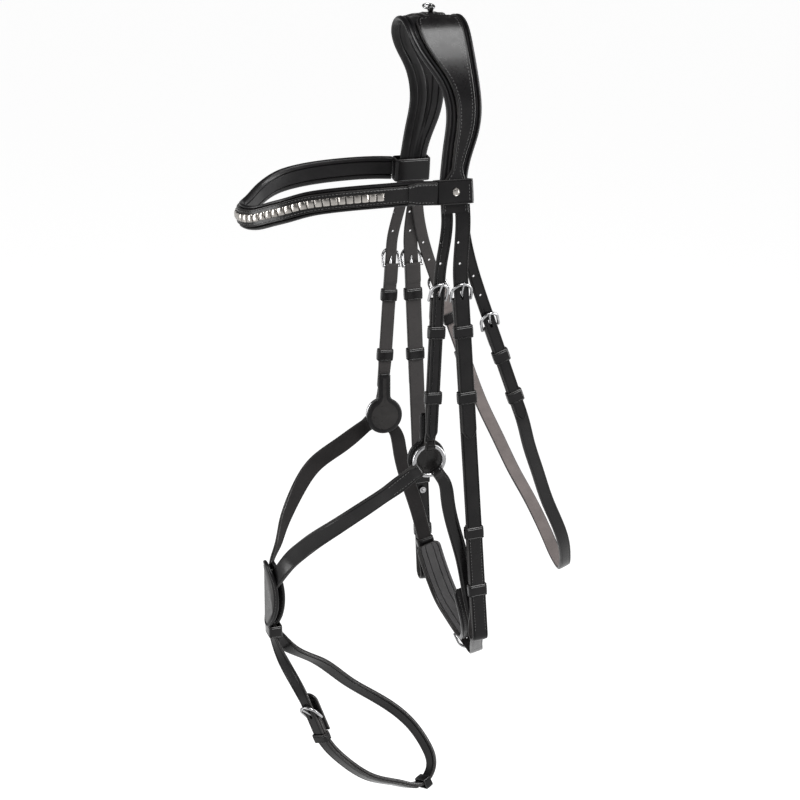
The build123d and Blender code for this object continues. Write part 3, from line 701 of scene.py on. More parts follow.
def crown_panel():
    """The stitched outer panel, with rounded top corners."""
    points, along = even(CROWN_CURVE, 300)
    keep = [i for i, p in enumerate(points) if p[1] > PANEL_START_Y and p[2] > PANEL_END_Z]
    build = Build()
    first = points[keep[0]]
    rings, lines, normals, slots = [], {-1: [], 1: []}, [], None
    fine = [keep[0]] * 7 + keep[1:]
    for k, i in enumerate(fine):
        p, t = points[i], along[i]
        if k < 7:
            p = first + t * (k * 0.25)
        done = np.linalg.norm(p - first)
        rounding = 9.0 - math.sqrt(max(0.0, 81.0 - max(0.0, 9.0 - done) ** 2)) if done < 9.0 else 0.0
        inset = panel_inset(p[2]) + rounding * 0.8
        normal = square_to(crown_out(p), t)
        front = interpolate(FRONT_EDGE, p[2]) + inset * FRONT_ROLL
        rear = interpolate(REAR_EDGE, p[2]) - inset
        middle, half = (front + rear) / 2, (rear - front) / 2
        outline = strap_profile(half, 3.6, PANEL_HIGH - 0.2, 1.3, 0.2, 1.0, 0.45, (GRAIN, EDGE, EDGE))
        slots = [s for _, _, s in outline]
        rings.append([p + vec(middle - a, 0, 0) + normal * n for a, n, _ in outline])
        if done > 3.0:
            for side in (-1, 1):
                lines[side].append(
                    p + vec(middle + side * (half - 3.0), 0, 0) + normal * (PANEL_HIGH - 0.02)
                )
            normals.append(normal)
    build.sweep(rings, slots)
    for side in (-1, 1):
        build.stitches(lines[side], np.array(normals), pitch=2.9, length=2.1, radius=0.22)
    across = np.linspace(lines[-1][0], lines[1][0], 12)
    build.stitches(across, np.array([normals[0]] * 12), pitch=2.9, length=2.1, radius=0.22)
    return build


def crown_seat(z):
    """Point and outward direction of the off side of the crown's underside at a height."""
    points, along = even(CROWN_CURVE, 600)
    best = min((i for i, p in enumerate(points) if p[1] > 0), key=lambda i: abs(points[i][2] - z))
    return points[best], square_to(vec(0, 1, 0), along[best])


CROWN_EYE = vec(-4.0, 0.0, 9.4)
TAB_X = -4.4


def crown_tab():
    """The short strap over the middle, with the loop that holds the small ring."""
    points, along = even(CROWN_CURVE, 900)
    keep = [i for i, p in enumerate(points) if abs(p[1]) < 8.5]
    route = Route(points[keep] + vec(TAB_X, 0, 0), crown_out, along=along[keep])
    build = Build()
    edge = np.minimum(route.run, route.run[-1] - route.run)
    width = 14.0 - 2 * (2.5 - np.sqrt(np.clip(6.25 - np.clip(2.5 - edge, 0, 2.5) ** 2, 0, None)))
    strap(build, route, width, 3.8, 6.5, crease=1.3, puff=0.3, slots=(GRAIN, EDGE, EDGE))
    for side in (-1, 1):
        row = route.offset(side * 5.0, 6.75)
        build.stitches(row[6:-6], route.n[6:-6], radius=0.21)
    rings = []
    angle = np.linspace(0, 2 * np.pi, 25)[:-1]
    outline = [(-1.8, 1.75), (1.8, 1.75), (1.8, 2.5), (1.5, 2.8), (0, 2.9), (-1.5, 2.8), (-1.8, 2.5)]
    for w in angle:
        out = vec(0, math.cos(w), math.sin(w))
        rings.append([CROWN_EYE + vec(a, 0, 0) + out * r for a, r in outline])
    build.sweep(rings, [EDGE, EDGE, GRAIN, GRAIN, GRAIN, GRAIN, EDGE], closed=True)
    return build


place(crown_padding(), "crown_padding", "crown", ["crown_pad"], PAD_FINISH, "padded_leather", fill=0.75)
for side, mirrored in SIDES:
    place(crown_panel(), f"{side}_crown_panel", "crown", ["crown_panels"], LINED_FINISH, mirror=mirrored)
place(crown_tab(), "crown_tab_leather", "crown", ["crown_tab"], LINED_FINISH)


# =============================================================================
# Hung billets, buckle ends and keepers
# =============================================================================
NOSE_BAR, CHEEK_BAR, THROAT_BAR = vec(-18.0, 62.0, -220.0), vec(2.0, 63.0, -221.0), vec(29.0, 62.5, -247.0)
NOSE_ROOT_X, CHEEK_ROOT_X, THROAT_ROOT_X = -8.5, 4.3, 4.6
RING = vec(-26.0, 67.0, -358.0)
CHEEK_END = vec(18.5, 76.0, -521.0)

NOSE_SEAT = Seat(NOSE_BAR, NOSE_BAR - vec(-25.6, 66.6, -352))
CHEEK_SEAT = Seat(CHEEK_BAR, CHEEK_BAR - CHEEK_END)
THROAT_SEAT = Seat(THROAT_BAR, (-0.34, 0.0, 0.94))


def hung_billet(seat, width, root_x, root_z, middle, tail, tip, ridged=False):
    """A billet from under the crown's panel to its pointed tip."""
    root, normal = crown_seat(root_z)
    lap, lap_normal = crown_seat(PANEL_END_Z - 1)
    top = root + vec(root_x, 0, 0) + normal * middle
    lap_end = lap + vec(root_x, 0, 0) + lap_normal * middle
    start = seat.at(TOP_REACH + 4, TAIL_MIDDLE)
    bend = smooth([lap_end, start], start=unit(lap_end - top), end=-seat.up)
    points = [top, (top + lap_end) / 2] + list(even(bend, 26)[0])
    points += fine_end(seat.at(TOP_REACH + 2, TAIL_MIDDLE), seat.at(-tail - tip, TAIL_MIDDLE), tip=tip)
    route = Route(points, to_right)
    build = Build()
    half = BILLET / 2
    crease, groove = (2.3, 0.4) if ridged else (1.6, 0.28)
    strap(
        build, route, tip_widths(route, width, tip), -half, half, radius=0.55, crease=crease, groove=groove
    )
    return build


# heights on a seat's own line, from the nose over its bar down the folded end
FOLDED_END = np.concatenate(
    [CHAPE_R * np.sin(np.linspace(np.pi / 2, 0, 9)), -np.arange(1.2, 15.1, 1.6), [-15.4, -17.0, -18.5]]
)


def buckle_lows(heights, base=0.0):
    """Low and high of a strap folded round its buckle's bar; base is where the route runs on the seat."""
    low, high = [], []
    for y in heights:
        if y > 0:
            r = math.sqrt(max(CHAPE_R**2 - y**2, 0.0016))
            low.append(-r - base)
            high.append(r - base)
        else:
            t = eased((-y - CHAPE_LENGTH + 1) / 3.5)
            low.append(-CHAPE_R + (STRAP_LOW + CHAPE_R) * t - base)
            high.append(CHAPE_R - base)
    return np.array(low), np.array(high)


FOLD_R, BIT_LOOP_R = 4.8, 5.0
FOLD_LOW = 0.2  # underside of the single layer that is folded round the bit
FOLD_CURVE, FOLD_LENGTH = 26.0, 102.0
CHEEK_LENGTH = float(np.linalg.norm(CHEEK_BAR - CHEEK_END))


def cheek_strap():
    """The cheekpiece: folded round the bar above, and folded up behind itself round the bit below."""
    seat, length = CHEEK_SEAT, CHEEK_LENGTH
    heights = FOLDED_END
    low, high = (list(v) for v in buckle_lows(heights))
    points = [seat.at(y) for y in heights]
    normals = [seat.out] * len(points)

    def lay(point, normal, thin=FOLD_LOW):
        points.append(point)
        normals.append(normal)
        low.append(thin)
        high.append(STRAP_HIGH)

    for y in np.linspace(-21, -length, 96):
        t = np.clip((length + y - 6) / 22.0, 0, 1)
        lay(seat.at(y), seat.out, FOLD_LOW + (STRAP_LOW - FOLD_LOW) * t)
    centre_z = STRAP_HIGH - BIT_LOOP_R - BILLET
    for w in np.linspace(0, np.pi, 17)[1:]:
        out = seat.up * -math.sin(w) + seat.out * math.cos(w)
        lay(seat.at(-length, centre_z) + out * FOLD_R, out)
    for s in np.linspace(0, 1, 16)[1:]:
        z = centre_z - FOLD_R + (STRAP_LOW - centre_z + FOLD_R) * eased(s)
        lay(seat.at(-length + FOLD_CURVE * s, z), -seat.out)
    for y in np.linspace(FOLD_CURVE, FOLD_LENGTH, 24)[1:]:
        lay(seat.at(-length + y, STRAP_LOW), -seat.out)
    route = Route(points, normals=normals)
    build = Build()
    strap(build, route, CHEEK_WIDTH, low, high, puff=0.45, groove=0.34)
    for rows in (np.linspace(-length + 4, -length + FOLD_LENGTH - 4, 60), np.linspace(-42, -17, 20)):
        for across in (2.4 - CHEEK_WIDTH / 2, CHEEK_WIDTH / 2 - 2.4):
            line = [seat.at(y, STRAP_HIGH + 0.1, across) for y in rows]
            build.stitches(line, np.array([seat.out] * len(line)))
    return build


def noseband_hanger():
    """The short strap from the noseband's buckle down to the ring that it is folded round."""
    seat = NOSE_SEAT
    heights = FOLDED_END
    low, high = (list(v) for v in buckle_lows(heights))
    points = [seat.at(y) for y in heights]
    wire = RING + vec(0, 0, RING_R)
    length = np.linalg.norm(seat.o - wire)
    points += [seat.at(y) for y in np.linspace(-21, -length + 12, 34)]
    last, neck = seat.at(-length + 12), wire + vec(0, -0.7, 3.5)
    points += [last + (neck - last) * s for s in np.linspace(0, 1, 9)[1:]]
    low += [STRAP_LOW] * (len(points) - len(low))
    high += [STRAP_HIGH] * (len(points) - len(high))
    bulge = -RING_LOOP_R * np.sin(np.linspace(0.0, np.pi / 2, 9))
    for drop in np.concatenate([np.linspace(2.8, 0.3, 6), bulge]):
        points.append(wire + vec(0, 0, drop))
        lo, hi = end_bulge([drop], RING_LOOP_R, STRAP_LOW, STRAP_HIGH, 4.0)
        low.append(lo[0])
        high.append(hi[0])
    route = Route(points, to_right)
    left = route.run[-1] - route.run
    t = np.clip((left - 7) / 34.0, 0, 1)
    build = Build()
    strap(build, route, 9.0 + (HANGER_WIDTH - 9.0) * t, low, high, puff=0.5, groove=0.34)
    keep = [i for i, s in enumerate(left) if 9 < s < 40]
    build.sew(route, keep, 4.5 + 1.5 * t - 2.1, high)
    return build


def hung_keeper(seat, width, y, low=STRAP_LOW, high=TAIL_HIGH):
    build = Build()
    keeper(build, seat, width, low, high, y)
    return build


LAP = crown_seat(PANEL_END_Z)[0]
for side, mirrored in SIDES:
    lap_top = vec(*on_side(LAP, mirrored)) * MM
    lap_low = lap_top + vec(0, 0, -34 * MM)
    bar = vec(*on_side(CHEEK_BAR, mirrored)) * MM
    up = vec(0, 0, 10 * MM)
    place(
        hung_billet(
            CHEEK_SEAT, CHEEK_BILLET, CHEEK_ROOT_X, -143.0, (PANEL_LOW + PANEL_HIGH) / 2 - 0.3, 112, 9
        ),
        f"{side}_cheek_billet", None, ["cheek_billets", f"{side}_cheek_billet_end"], STRAP_FINISH,
        mirror=mirrored, blend=("crown", f"{side}_cheekpiece", bar + up, bar - up),
        holes=seat_holes(CHEEK_SEAT, 2),
    )
    place(
        hung_billet(NOSE_SEAT, HANGER_BILLET, NOSE_ROOT_X, -136.0, ROOT_MIDDLE, 112, 7, ridged=True),
        f"{side}_noseband_billet", None, ["noseband_billets"], STRAP_FINISH, mirror=mirrored,
        blend=("crown", "noseband", lap_top, lap_low), holes=seat_holes(NOSE_SEAT, 2),
    )
    place(
        hung_billet(THROAT_SEAT, THROAT_BILLET, THROAT_ROOT_X, -136.0, ROOT_MIDDLE, 82, 7),
        f"{side}_throat_billet", None, ["throat_billets"], STRAP_FINISH, mirror=mirrored,
        blend=("crown", "throatlatch", lap_top, lap_low), holes=seat_holes(THROAT_SEAT, 2),
    )
    cheek = f"{side}_cheekpiece"
    place(
        cheek_strap(), f"{side}_cheek_strap_leather", cheek, [f"{side}_cheek_strap"], STRAP_FINISH,
        mirror=mirrored,
    )
    place(
        noseband_hanger(), f"{side}_noseband_hanger", "noseband", ["noseband_hangers"], STRAP_FINISH,
        mirror=mirrored,
    )
    for label, seat, width, body, fixed, runner in (
        ("cheek", CHEEK_SEAT, CHEEK_WIDTH, cheek, f"{side}_cheek_fixed_keeper", -84.0),
        ("noseband", NOSE_SEAT, HANGER_WIDTH, "noseband", "noseband_fixed_keepers", -83.0),
        ("throat", THROAT_SEAT, THROAT_WIDTH, "throatlatch", "throat_fixed_keepers", -66.0),
    ):
        place(
            hung_keeper(seat, width, -27.0), f"{side}_{label}_fixed_loop", body, [fixed], KEEPER_FINISH,
            mirror=mirrored
        )
        place(
            hung_keeper(seat, width, runner), f"{side}_{label}_runner_loop", f"{side}_{label}_runner",
            [f"{side}_{label}_runner"], KEEPER_FINISH, mirror=mirrored,
        )
    bit_loops = Build()
    for rise in (95.0, 42.0):
        keeper(bit_loops, CHEEK_SEAT, CHEEK_WIDTH, -3.0, STRAP_HIGH, -CHEEK_LENGTH + rise)
    place(
        bit_loops, f"{side}_bit_keeper_loops", cheek, [f"{side}_bit_keepers"], KEEPER_FINISH,
        mirror=mirrored,
    )


def joined(points, lows, highs, normals):
    """A route through finished points, with low and high at each."""
    return Route(points, normals=normals), np.array(lows), np.array(highs)


# =============================================================================
# Throatlatch
# =============================================================================
THROAT_HALF = [
    (67.5, 57.5, -355.0), (80, 49, -385), (94, 40, -418), (106, 34, -442), (115, 28.5, -462),
    (122, 19, -482), (126.5, 8, -497),
]
THROAT_BOTTOM = (128.0, 0.0, -501.0)
THROAT_STRAIGHT = 84.0
THROAT_CENTRE = away_from(62.0, 0.0, -335.0)


def both_halves(half, middle):
    """Points of a U from the near side through its lowest point to the off side."""
    return [(x, -y, z) for x, y, z in half] + [middle] + [tuple(p) for p in reversed(half)]


def throat_strap():
    seat = THROAT_SEAT
    run = seat.at(-THROAT_STRAIGHT, STRAP_MIDDLE)
    half = [tuple(run)] + THROAT_HALF
    down = -seat.up
    bend = smooth(both_halves(half, THROAT_BOTTOM), start=(down[0], -down[1], down[2]), end=seat.up)
    bend = even(bend, 190)[0]
    heights = FOLDED_END
    ends = [seat.at(y, STRAP_MIDDLE) for y in heights]
    straight = [seat.at(y, STRAP_MIDDLE) for y in np.linspace(-22, -THROAT_STRAIGHT + 3, 22)]
    off = ends + straight
    near = [p * vec(1, -1, 1) for p in off]
    points = near + list(bend) + off[::-1]
    low, high = buckle_lows(heights, STRAP_MIDDLE)
    plain_low, plain_high = [-STRAP / 2], [STRAP / 2]
    lows = list(low) + plain_low * (len(points) - 2 * len(low)) + list(low[::-1])
    highs = list(high) + plain_high * (len(points) - 2 * len(high)) + list(high[::-1])
    normals = []
    turn = len(off)
    for i, p in enumerate(points):
        free = eased((min(i, len(points) - 1 - i) - len(heights)) / (turn - len(heights)))
        side = vec(0, -1 if i < len(points) / 2 else 1, 0)
        normals.append(side * (1 - free) + unit(THROAT_CENTRE(p)) * free)
    route, lows, highs = joined(points, lows, highs, normals)
    build = Build()
    strap(build, route, THROAT_WIDTH, lows, highs, puff=0.15)
    return build


place(throat_strap(), "throatlatch_leather", "throatlatch", ["throat_strap"], THROAT_FINISH)
FLIP = vec(1, -1, 1)


# =============================================================================
# Browband
# =============================================================================
BROW_FRONT = (-167.5, 0.0, -151.7)
BROW_HALF = [
    (-19.0, 60.4, -131.4), (-34.0, 61.2, -130.6), (-60.0, 61.6, -130.6), (-88.0, 59.4, -131.6),
    (-110.0, 55.0, -133.4), (-126.0, 49.5, -136.2), (-141.5, 40.0, -141.9), (-151.3, 30.0, -146.3),
    (-160.2, 20.0, -150.4), (-165.7, 10.0, -151.7),
]
BROW_HEIGHT, BROW_FACE_HEIGHT = 20.0, 14.0
BROW_OUT = level_from(-60.0, 0.0)
LINK_PITCH, LINK_LENGTH, LINK_HEIGHT, LINKS_EACH_SIDE = 6.2, 5.5, 6.4, 21
LOOP_LOW_Z, LOOP_HIGH_Z, LOOP_CLEARANCE = -142.0, -122.0, 1.1
BROW_CURVE = smooth(both_halves(BROW_HALF, BROW_FRONT))


def brow_lining():
    """The padded lining, with a fat rolled edge above and below."""
    route = Route(even(BROW_CURVE, 200)[0], BROW_OUT)
    half = BROW_HEIGHT / 2
    upper = [
        (half - 2.6, -4.6), (half - 1.0, -4.2), (half - 0.2, -3.2), (half, -2.0), (half - 0.2, -0.8),
        (half - 0.9, 0.25), (half - 1.9, 0.45), (half - 2.7, 0.0), (half - 3.1, -0.9), (half - 3.9, -0.7),
    ]
    inner = [(-half + 3.6, -4.7), (-half + 4.3, -3.6), (-half + 5.0, -4.7), (-2.0, -4.75)]
    outline = upper + [(-a, n) for a, n in reversed(upper)] + inner + [(-a, n) for a, n in reversed(inner)]
    rings = [[p + a * u + n * r for u, r in outline] for p, a, n in zip(route.p, route.a, route.n)]
    build = Build()
    build.sweep(rings, [GRAIN] * len(outline))
    return build


def brow_face():
    """The stitched face strip, raised along its middle under the links."""
    route = Route(even(BROW_CURVE, 200)[0], BROW_OUT).part(4, -4)
    build = Build()
    strap(
        build, route, BROW_FACE_HEIGHT, -0.9, 2.2, crease=1.0, groove=0.15, radius=0.9, puff=0.35,
        slots=(GRAIN, EDGE, EDGE),
    )
    for side in (-1, 1):
        build.stitches(route.offset(side * 5.2, 2.35), route.n, radius=0.22)
    return build


def brow_end():
    """The flat stitched end of the face strip that runs into the loop."""
    route = Route(even(BROW_CURVE, 200)[0], BROW_OUT).part(-15, None)
    build = Build()
    left = route.run - route.run[0]
    width = 18.6 - 3.0 * (1 - eased(left / 9.0))
    strap(
        build, route, width, 0.2, 3.2, crease=1.2, groove=0.2, radius=0.9, puff=0.25,
        slots=(GRAIN, EDGE, EDGE),
    )
    for side in (-1, 1):
        line = route.p + route.a * (side * (width / 2 - 2.3))[:, None] + route.n * 3.35
        build.stitches(line, route.n, radius=0.21)
    return build


def brow_links():
    """Bevelled metal links, side by side on the face strip."""
    length = np.linalg.norm(np.diff(BROW_CURVE, axis=0), axis=1).sum()
    points, _ = even(BROW_CURVE, 2000)
    build = Build()
    for i in range(-LINKS_EACH_SIDE, LINKS_EACH_SIDE + 1):
        middle = 1000 + i * LINK_PITCH / length * 2000
        span = LINK_LENGTH / 2 / length * 2000
        half = LINK_HEIGHT / 2
        rings = []
        for s, inset, rise in (
            (-1.0, 0.35, 0.0), (-1.0, 0.3, 0.6), (-0.93, 0.2, 0.95), (-0.55, 0.0, 1.55), (0, 0.0, 1.7),
            (0.55, 0.0, 1.55), (0.93, 0.2, 0.95), (1.0, 0.3, 0.6), (1.0, 0.35, 0.0),
        ):
            k = int(round(middle + s * span))
            p, t = points[k], unit(points[k + 1] - points[k - 1])
            n = square_to(BROW_OUT(p), t)
            a = np.cross(n, t)
            top = 2.75 + rise * 0.95
            edge, foot = half - inset, 2.5
            knee, shoulder = foot + (top - foot) * 0.45, foot + (top - foot) * 0.75
            outline = [
                (-edge, foot), (edge, foot), (edge, knee), (edge - 0.3, shoulder), (edge - 1.5, top),
                (0, top + 0.04), (1.5 - edge, top), (0.3 - edge, shoulder), (-edge, knee),
            ]
            rings.append([p + a * u + n * r for u, r in outline])
        build.sweep(rings, [GRAIN] * 9)
    return build


def brow_loop():
    """The loop at the browband's end that the crown passes through."""
    low, high = crown_seat(LOOP_LOW_Z)[0], crown_seat(LOOP_HIGH_Z)[0]
    front = interpolate(FRONT_EDGE, LOOP_HIGH_Z) - LOOP_CLEARANCE - 2.2
    rear = interpolate(REAR_EDGE, LOOP_HIGH_Z) + LOOP_CLEARANCE
    middle = (low + high) / 2 + vec((front + rear) / 2, PANEL_HIGH / 2, 0)
    seat = Seat(middle, high - low)
    depth = PANEL_HIGH / 2 + LOOP_CLEARANCE
    build = Build()
    keeper(
        build, seat, rear - front - 2 * KEEPER_GAP, -depth + KEEPER_GAP, depth - KEEPER_GAP, 0.0,
        height=LOOP_HIGH_Z - LOOP_LOW_Z, wall=1.9,
    )
    row = [seat.at(y, depth + 2.0, (front - rear) / 2 + 2.4) for y in np.linspace(-7.5, 7.5, 12)]
    build.stitches(row, np.array([seat.out] * 12), pitch=2.7, length=2.0, radius=0.21)
    return build


def brow_stud():
    """A plain domed oval."""
    low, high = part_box("browband_studs")
    middle = vec(*((low + high) / 2)) / MM * vec(1, 0, 1) + vec(0, high[1] / MM - 0.35, 0)
    build = Build()
    angle = np.linspace(0, 2 * np.pi, 41)[:-1]
    rings = []
    dome = [
        (1.0, -1.0), (1.0, -0.2), (0.95, 0.05), (0.86, 0.1), (0.8, -0.05), (0.74, 0.0), (0.6, 0.3),
        (0.35, 0.5), (0.08, 0.58),
    ]
    for r, rise in dome:
        rings.append(
            [middle + vec(3.0 * r * math.cos(w), rise - 0.3, 3.4 * r * math.sin(w)) for w in angle[::-1]]
        )
    build.sweep(rings, [GRAIN] * 40)
    return build


METAL_FINISH = [SILVER] * 4
place(
    brow_lining(), "browband_padding", "browband", ["browband_lining"], PAD_FINISH, "padded_leather",
    fill=0.7,
)
place(brow_face(), "browband_face_strip", "browband", ["browband_face"], LINED_FINISH)
place(brow_links(), "clincher_chain", "browband", ["clincher_links"], METAL_FINISH, "silver", sharp=24.0)
for side, mirrored in SIDES:
    place(
        brow_loop(), f"{side}_browband_loop", "browband", ["browband_loops"], KEEPER_FINISH, mirror=mirrored
    )
    place(brow_end(), f"{side}_browband_end", "browband", ["browband_face"], LINED_FINISH, mirror=mirrored)
    place(
        brow_stud(), f"{side}_plain_stud", "browband", ["browband_studs"], METAL_FINISH, "steel",
        mirror=mirrored,
    )


# =============================================================================
# Padded discs, ovals and the jaw pad
# =============================================================================
def offset_outline(outline, inset):
    """The outline moved inward, square to itself."""
    along = np.roll(outline, -1, axis=0) - np.roll(outline, 1, axis=0)
    along /= np.linalg.norm(along, axis=1)[:, None]
    return outline + np.stack([-along[:, 1], along[:, 0]], axis=1) * inset


def pad_levels(thickness, piping=1.25):
    """(inset, rise) from the back's middle round the rim to the front's middle."""
    t = thickness
    return [
        (4.2, 0.1), (2.0, 0.0), (0.8, 0.3), (0.2, 0.9), (0.0, t * 0.5), (0.2, t - 0.9), (0.8, t - 0.2),
        (piping, t), (1.8, t - 0.25), (2.3, t - 1.0), (2.9, t - 0.85), (4.4, t - 0.35),
    ]


def padded_sheet(build, outline, thickness, to_world):
    """A lined pad with a piped rim; outline is counter-clockwise, to_world maps (u, v, rise)."""
    levels = pad_levels(thickness)
    rings = [[to_world(u, v, rise) for u, v in offset_outline(outline, inset)] for inset, rise in levels]
    build.sweep(rings, [GRAIN] * len(outline))


def bottle_outline(radius, neck, top):
    """A disc with a neck above, counter-clockwise from the neck's foot."""
    fillet = 5.0
    cx = neck + fillet
    cy = math.sqrt((radius + fillet) ** 2 - cx**2)
    touch = math.atan2(cy, cx)
    points = [(neck, top - 2.0), (neck - 2.0, top), (0, top), (-neck + 2.0, top), (-neck, top - 2.0)]
    for y in np.linspace(top - 6, cy + 3, 4):
        points.append((-neck, y))
    for w in np.linspace(0, math.pi / 2 - (math.pi / 2 - touch), 7):
        points.append((-cx + fillet * math.cos(w), cy - fillet * math.sin(w)))
    for w in np.linspace(math.pi - touch, 2 * math.pi + touch, 56):
        points.append((radius * math.cos(w), radius * math.sin(w)))
    right = [(-x, y) for x, y in points[5:16]]
    points += right[::-1]
    dense = even(np.array([(x, y, 0) for x, y in points + points[:1]]), 150)[0][:-1, :2]
    return dense


def cheek_pad():
    centre = RING - vec(0, 8.2, 0)
    outline = bottle_outline(16.8, 5.8, 40.0)
    build = Build()
    padded_sheet(build, outline, 3.8, lambda u, v, rise: centre + vec(u, rise - 1.9, v))
    for polygon in range(len(build.f)):
        build.f[polygon] = build.f[polygon][::-1]
    line = offset_outline(outline, 2.35)
    close = np.concatenate([line, line[:1]])
    rim = [centre + vec(u, 1.15, v) for u, v in close]
    build.stitches(rim, np.array([vec(0, 1, 0)] * len(rim)), radius=0.2)
    return build


NOSE_CURVE_R, NOSE_AXIS_X = 22.0, -128.0
CROSS_PAD_TOP, CROSS_PAD_BOTTOM = -460.0, -522.0


def cross_pad(half_width, half_height, inner_radius, thickness):
    """An oval bent round the front of the nose."""
    angle = np.linspace(0, 2 * np.pi, 121)[:-1]
    outline = np.array([(half_width * math.cos(w), half_height * math.sin(w)) for w in angle])
    middle_z = (CROSS_PAD_TOP + CROSS_PAD_BOTTOM) / 2

    def to_world(u, v, rise):
        turn = u / (inner_radius + thickness / 2)
        r = inner_radius + rise
        return vec(NOSE_AXIS_X - r * math.cos(turn), -r * math.sin(turn), middle_z + v)

    build = Build()
    padded_sheet(build, outline, thickness, to_world)
    line = offset_outline(outline, 2.35)
    close = np.concatenate([line, line[:1]])
    normals = [to_world(u, v, 1) - to_world(u, v, 0) for u, v in close]
    rim = [to_world(u, v, thickness - 0.85) for u, v in close]
    build.stitches(rim, np.array(normals), radius=0.2)
    return build


for side, mirrored in SIDES:
    place(
        cheek_pad(), f"{side}_cheek_pad", "noseband", ["cheek_pads"], PAD_FINISH, "padded_leather",
        mirror=mirrored, fill=0.6,
    )
place(
    cross_pad(19.0, 31.0, 23.9, 3.4), "nose_pad_front", "nose_cross", ["cross_pads"], PAD_FINISH,
    "padded_leather", fill=0.6,
)
place(
    cross_pad(16.0, 30.0, 17.2, 3.1), "nose_pad_back", "nose_cross", ["cross_pads"], PAD_FINISH,
    "padded_leather", fill=0.6,
)


# =============================================================================
# Crossed front straps and collar
# =============================================================================
CROSS_ANGLE, JAW_ANGLE = math.radians(215.0), math.radians(304.0)
CROSS_OUT = level_from(-100.0, 0.0)
CROSS_RUN = [
    (-66, 66.4, -385), (-90, 64.5, -399.5), (-108, 53.5, -415.5), (-121.7, 40, -430.7),
    (-130.2, 30, -442.4),
]


def ring_start(angle):
    """Points and (low, high) of a strap's folded end round the ring's wire, heading away at an angle."""
    heading = vec(math.cos(angle), 0, math.sin(angle))
    wire = RING + heading * RING_R
    past = np.concatenate([-RING_LOOP_R * np.sin(np.linspace(np.pi / 2, 0, 9)), np.linspace(0.8, 12.0, 8)])
    return heading, [wire + heading * d for d in past], past


def cross_strap():
    heading, points, past = ring_start(CROSS_ANGLE)
    low, high = (list(v) for v in end_bulge(past, RING_LOOP_R, -1.4, 1.4, 6.0))
    wrapped = []
    for angle, z in ((64, -455.0), (44, -465.5), (22, -477.0), (1, -488.0), (-14, -495.5)):
        turn = math.radians(angle)
        r = NOSE_CURVE_R + (0.0 if angle > 0 else 0.2)
        wrapped.append((NOSE_AXIS_X - r * math.cos(turn), r * math.sin(turn), z))
    path = smooth([tuple(points[-1])] + CROSS_RUN + wrapped, start=heading)
    rest = list(even(path, 84)[0][1:])
    points += rest
    low += [-1.35] * len(rest)
    high += [1.35] * len(rest)
    normals = []
    for i, p in enumerate(points):
        free = eased((i - len(past)) / 12.0)
        normals.append(vec(0, 1, 0) * (1 - free) + unit(CROSS_OUT(p)) * free)
    route, low, high = joined(points, low, high, normals)
    t = np.clip(route.run / 26.0, 0, 1)
    build = Build()
    strap(build, route, 12.0 + (CROSS_WIDTH - 12.0) * eased(t), low, high, puff=0.15)
    rows = [i for i, s in enumerate(route.run) if 8.5 < s < 34]
    build.sew(route, rows, np.full(len(route.p), 4.4), high)
    return build


COLLAR = vec(-148.0, 0.0, -527.5)
COLLAR_WIDTH, COLLAR_HEIGHT, COLLAR_RISE = 15.4, 10.8, 1.9  # the rise tucks it under the pads
COLLAR_BACK, COLLAR_FRONT = -4.9, 4.3


def collar():
    seat = Seat(COLLAR, (0, 0, 1), (-1, 0, 0))
    build = Build()
    keeper(build, seat, COLLAR_WIDTH, COLLAR_BACK, COLLAR_FRONT, COLLAR_RISE, height=COLLAR_HEIGHT)
    return build


for side, mirrored in SIDES:
    place(
        cross_strap(), f"{side}_cross_strap", "nose_cross", ["cross_straps"], LINED_FINISH, mirror=mirrored
    )
place(collar(), "cross_collar_band", "nose_cross", ["cross_collar"], KEEPER_FINISH)


# =============================================================================
# Chin strap
# =============================================================================
CHIN_BAR, CHIN_UP = (-119.5, -29.0, -603.0), (-0.33, 0.10, 0.94)
CHIN_OUT = away_from(-78.0, 0.0, -618.0)
CHIN_POINT = (-6.0, 1.0, -703.0)
CHIN_NEAR_RUN = [(-93.0, -29.5, -650.0), (-64.0, -21.0, -677.0), (-34.0, -9.0, -694.5), CHIN_POINT]
CHIN_OFF_RUN = [
    (3.5, 8, -692), (1, 17, -676), (-14, 26, -652), (-40, 30, -628), (-72, 26, -602), (-104, 15, -570.5),
    (-132.6, 6.5, -549), (-147, 1.5, -525),
]
CHIN_BILLET_TOP, CHIN_BILLET_BEND = (-150.3, -2.5, -527.0), (-141.0, -10.5, -556.0)
CHIN_SEAT = Seat(CHIN_BAR, CHIN_UP, CHIN_OUT(vec(*CHIN_BAR)))
CHIN_TAIL_SHARE = 23 / 64
CHIN_LENGTHS = 130


def chin_route():
    seat = CHIN_SEAT
    start = seat.at(-CHAPE_LENGTH + 1, STRAP_MIDDLE)
    line = [tuple(start)] + CHIN_NEAR_RUN + CHIN_OFF_RUN
    return even(smooth(line, start=-seat.up, end=(-0.25, -0.1, 0.95)), CHIN_LENGTHS)[0]


def with_buckle_end(seat, route_points, outward, settle=8):
    """A strap's points with its end folded round the bar in front, and its lows and highs."""
    heights = FOLDED_END
    heights = heights[heights > -CHAPE_LENGTH + 1.2]
    low, high = (list(v) for v in buckle_lows(heights, STRAP_MIDDLE))
    points = [seat.at(y, STRAP_MIDDLE) for y in heights] + list(route_points)
    left = len(points) - len(low)
    for k in range(left):
        t = eased((k + 1) / 2.5)
        low.append(-CHAPE_R - STRAP_MIDDLE + (CHAPE_R + STRAP_MIDDLE - STRAP / 2) * t)
        high.append(STRAP / 2)
    normals = []
    for i, p in enumerate(points):
        free = eased((i - len(heights)) / settle)
        normals.append(seat.out * (1 - free) + unit(outward(p)) * free)
    return joined(points, low, high, normals)


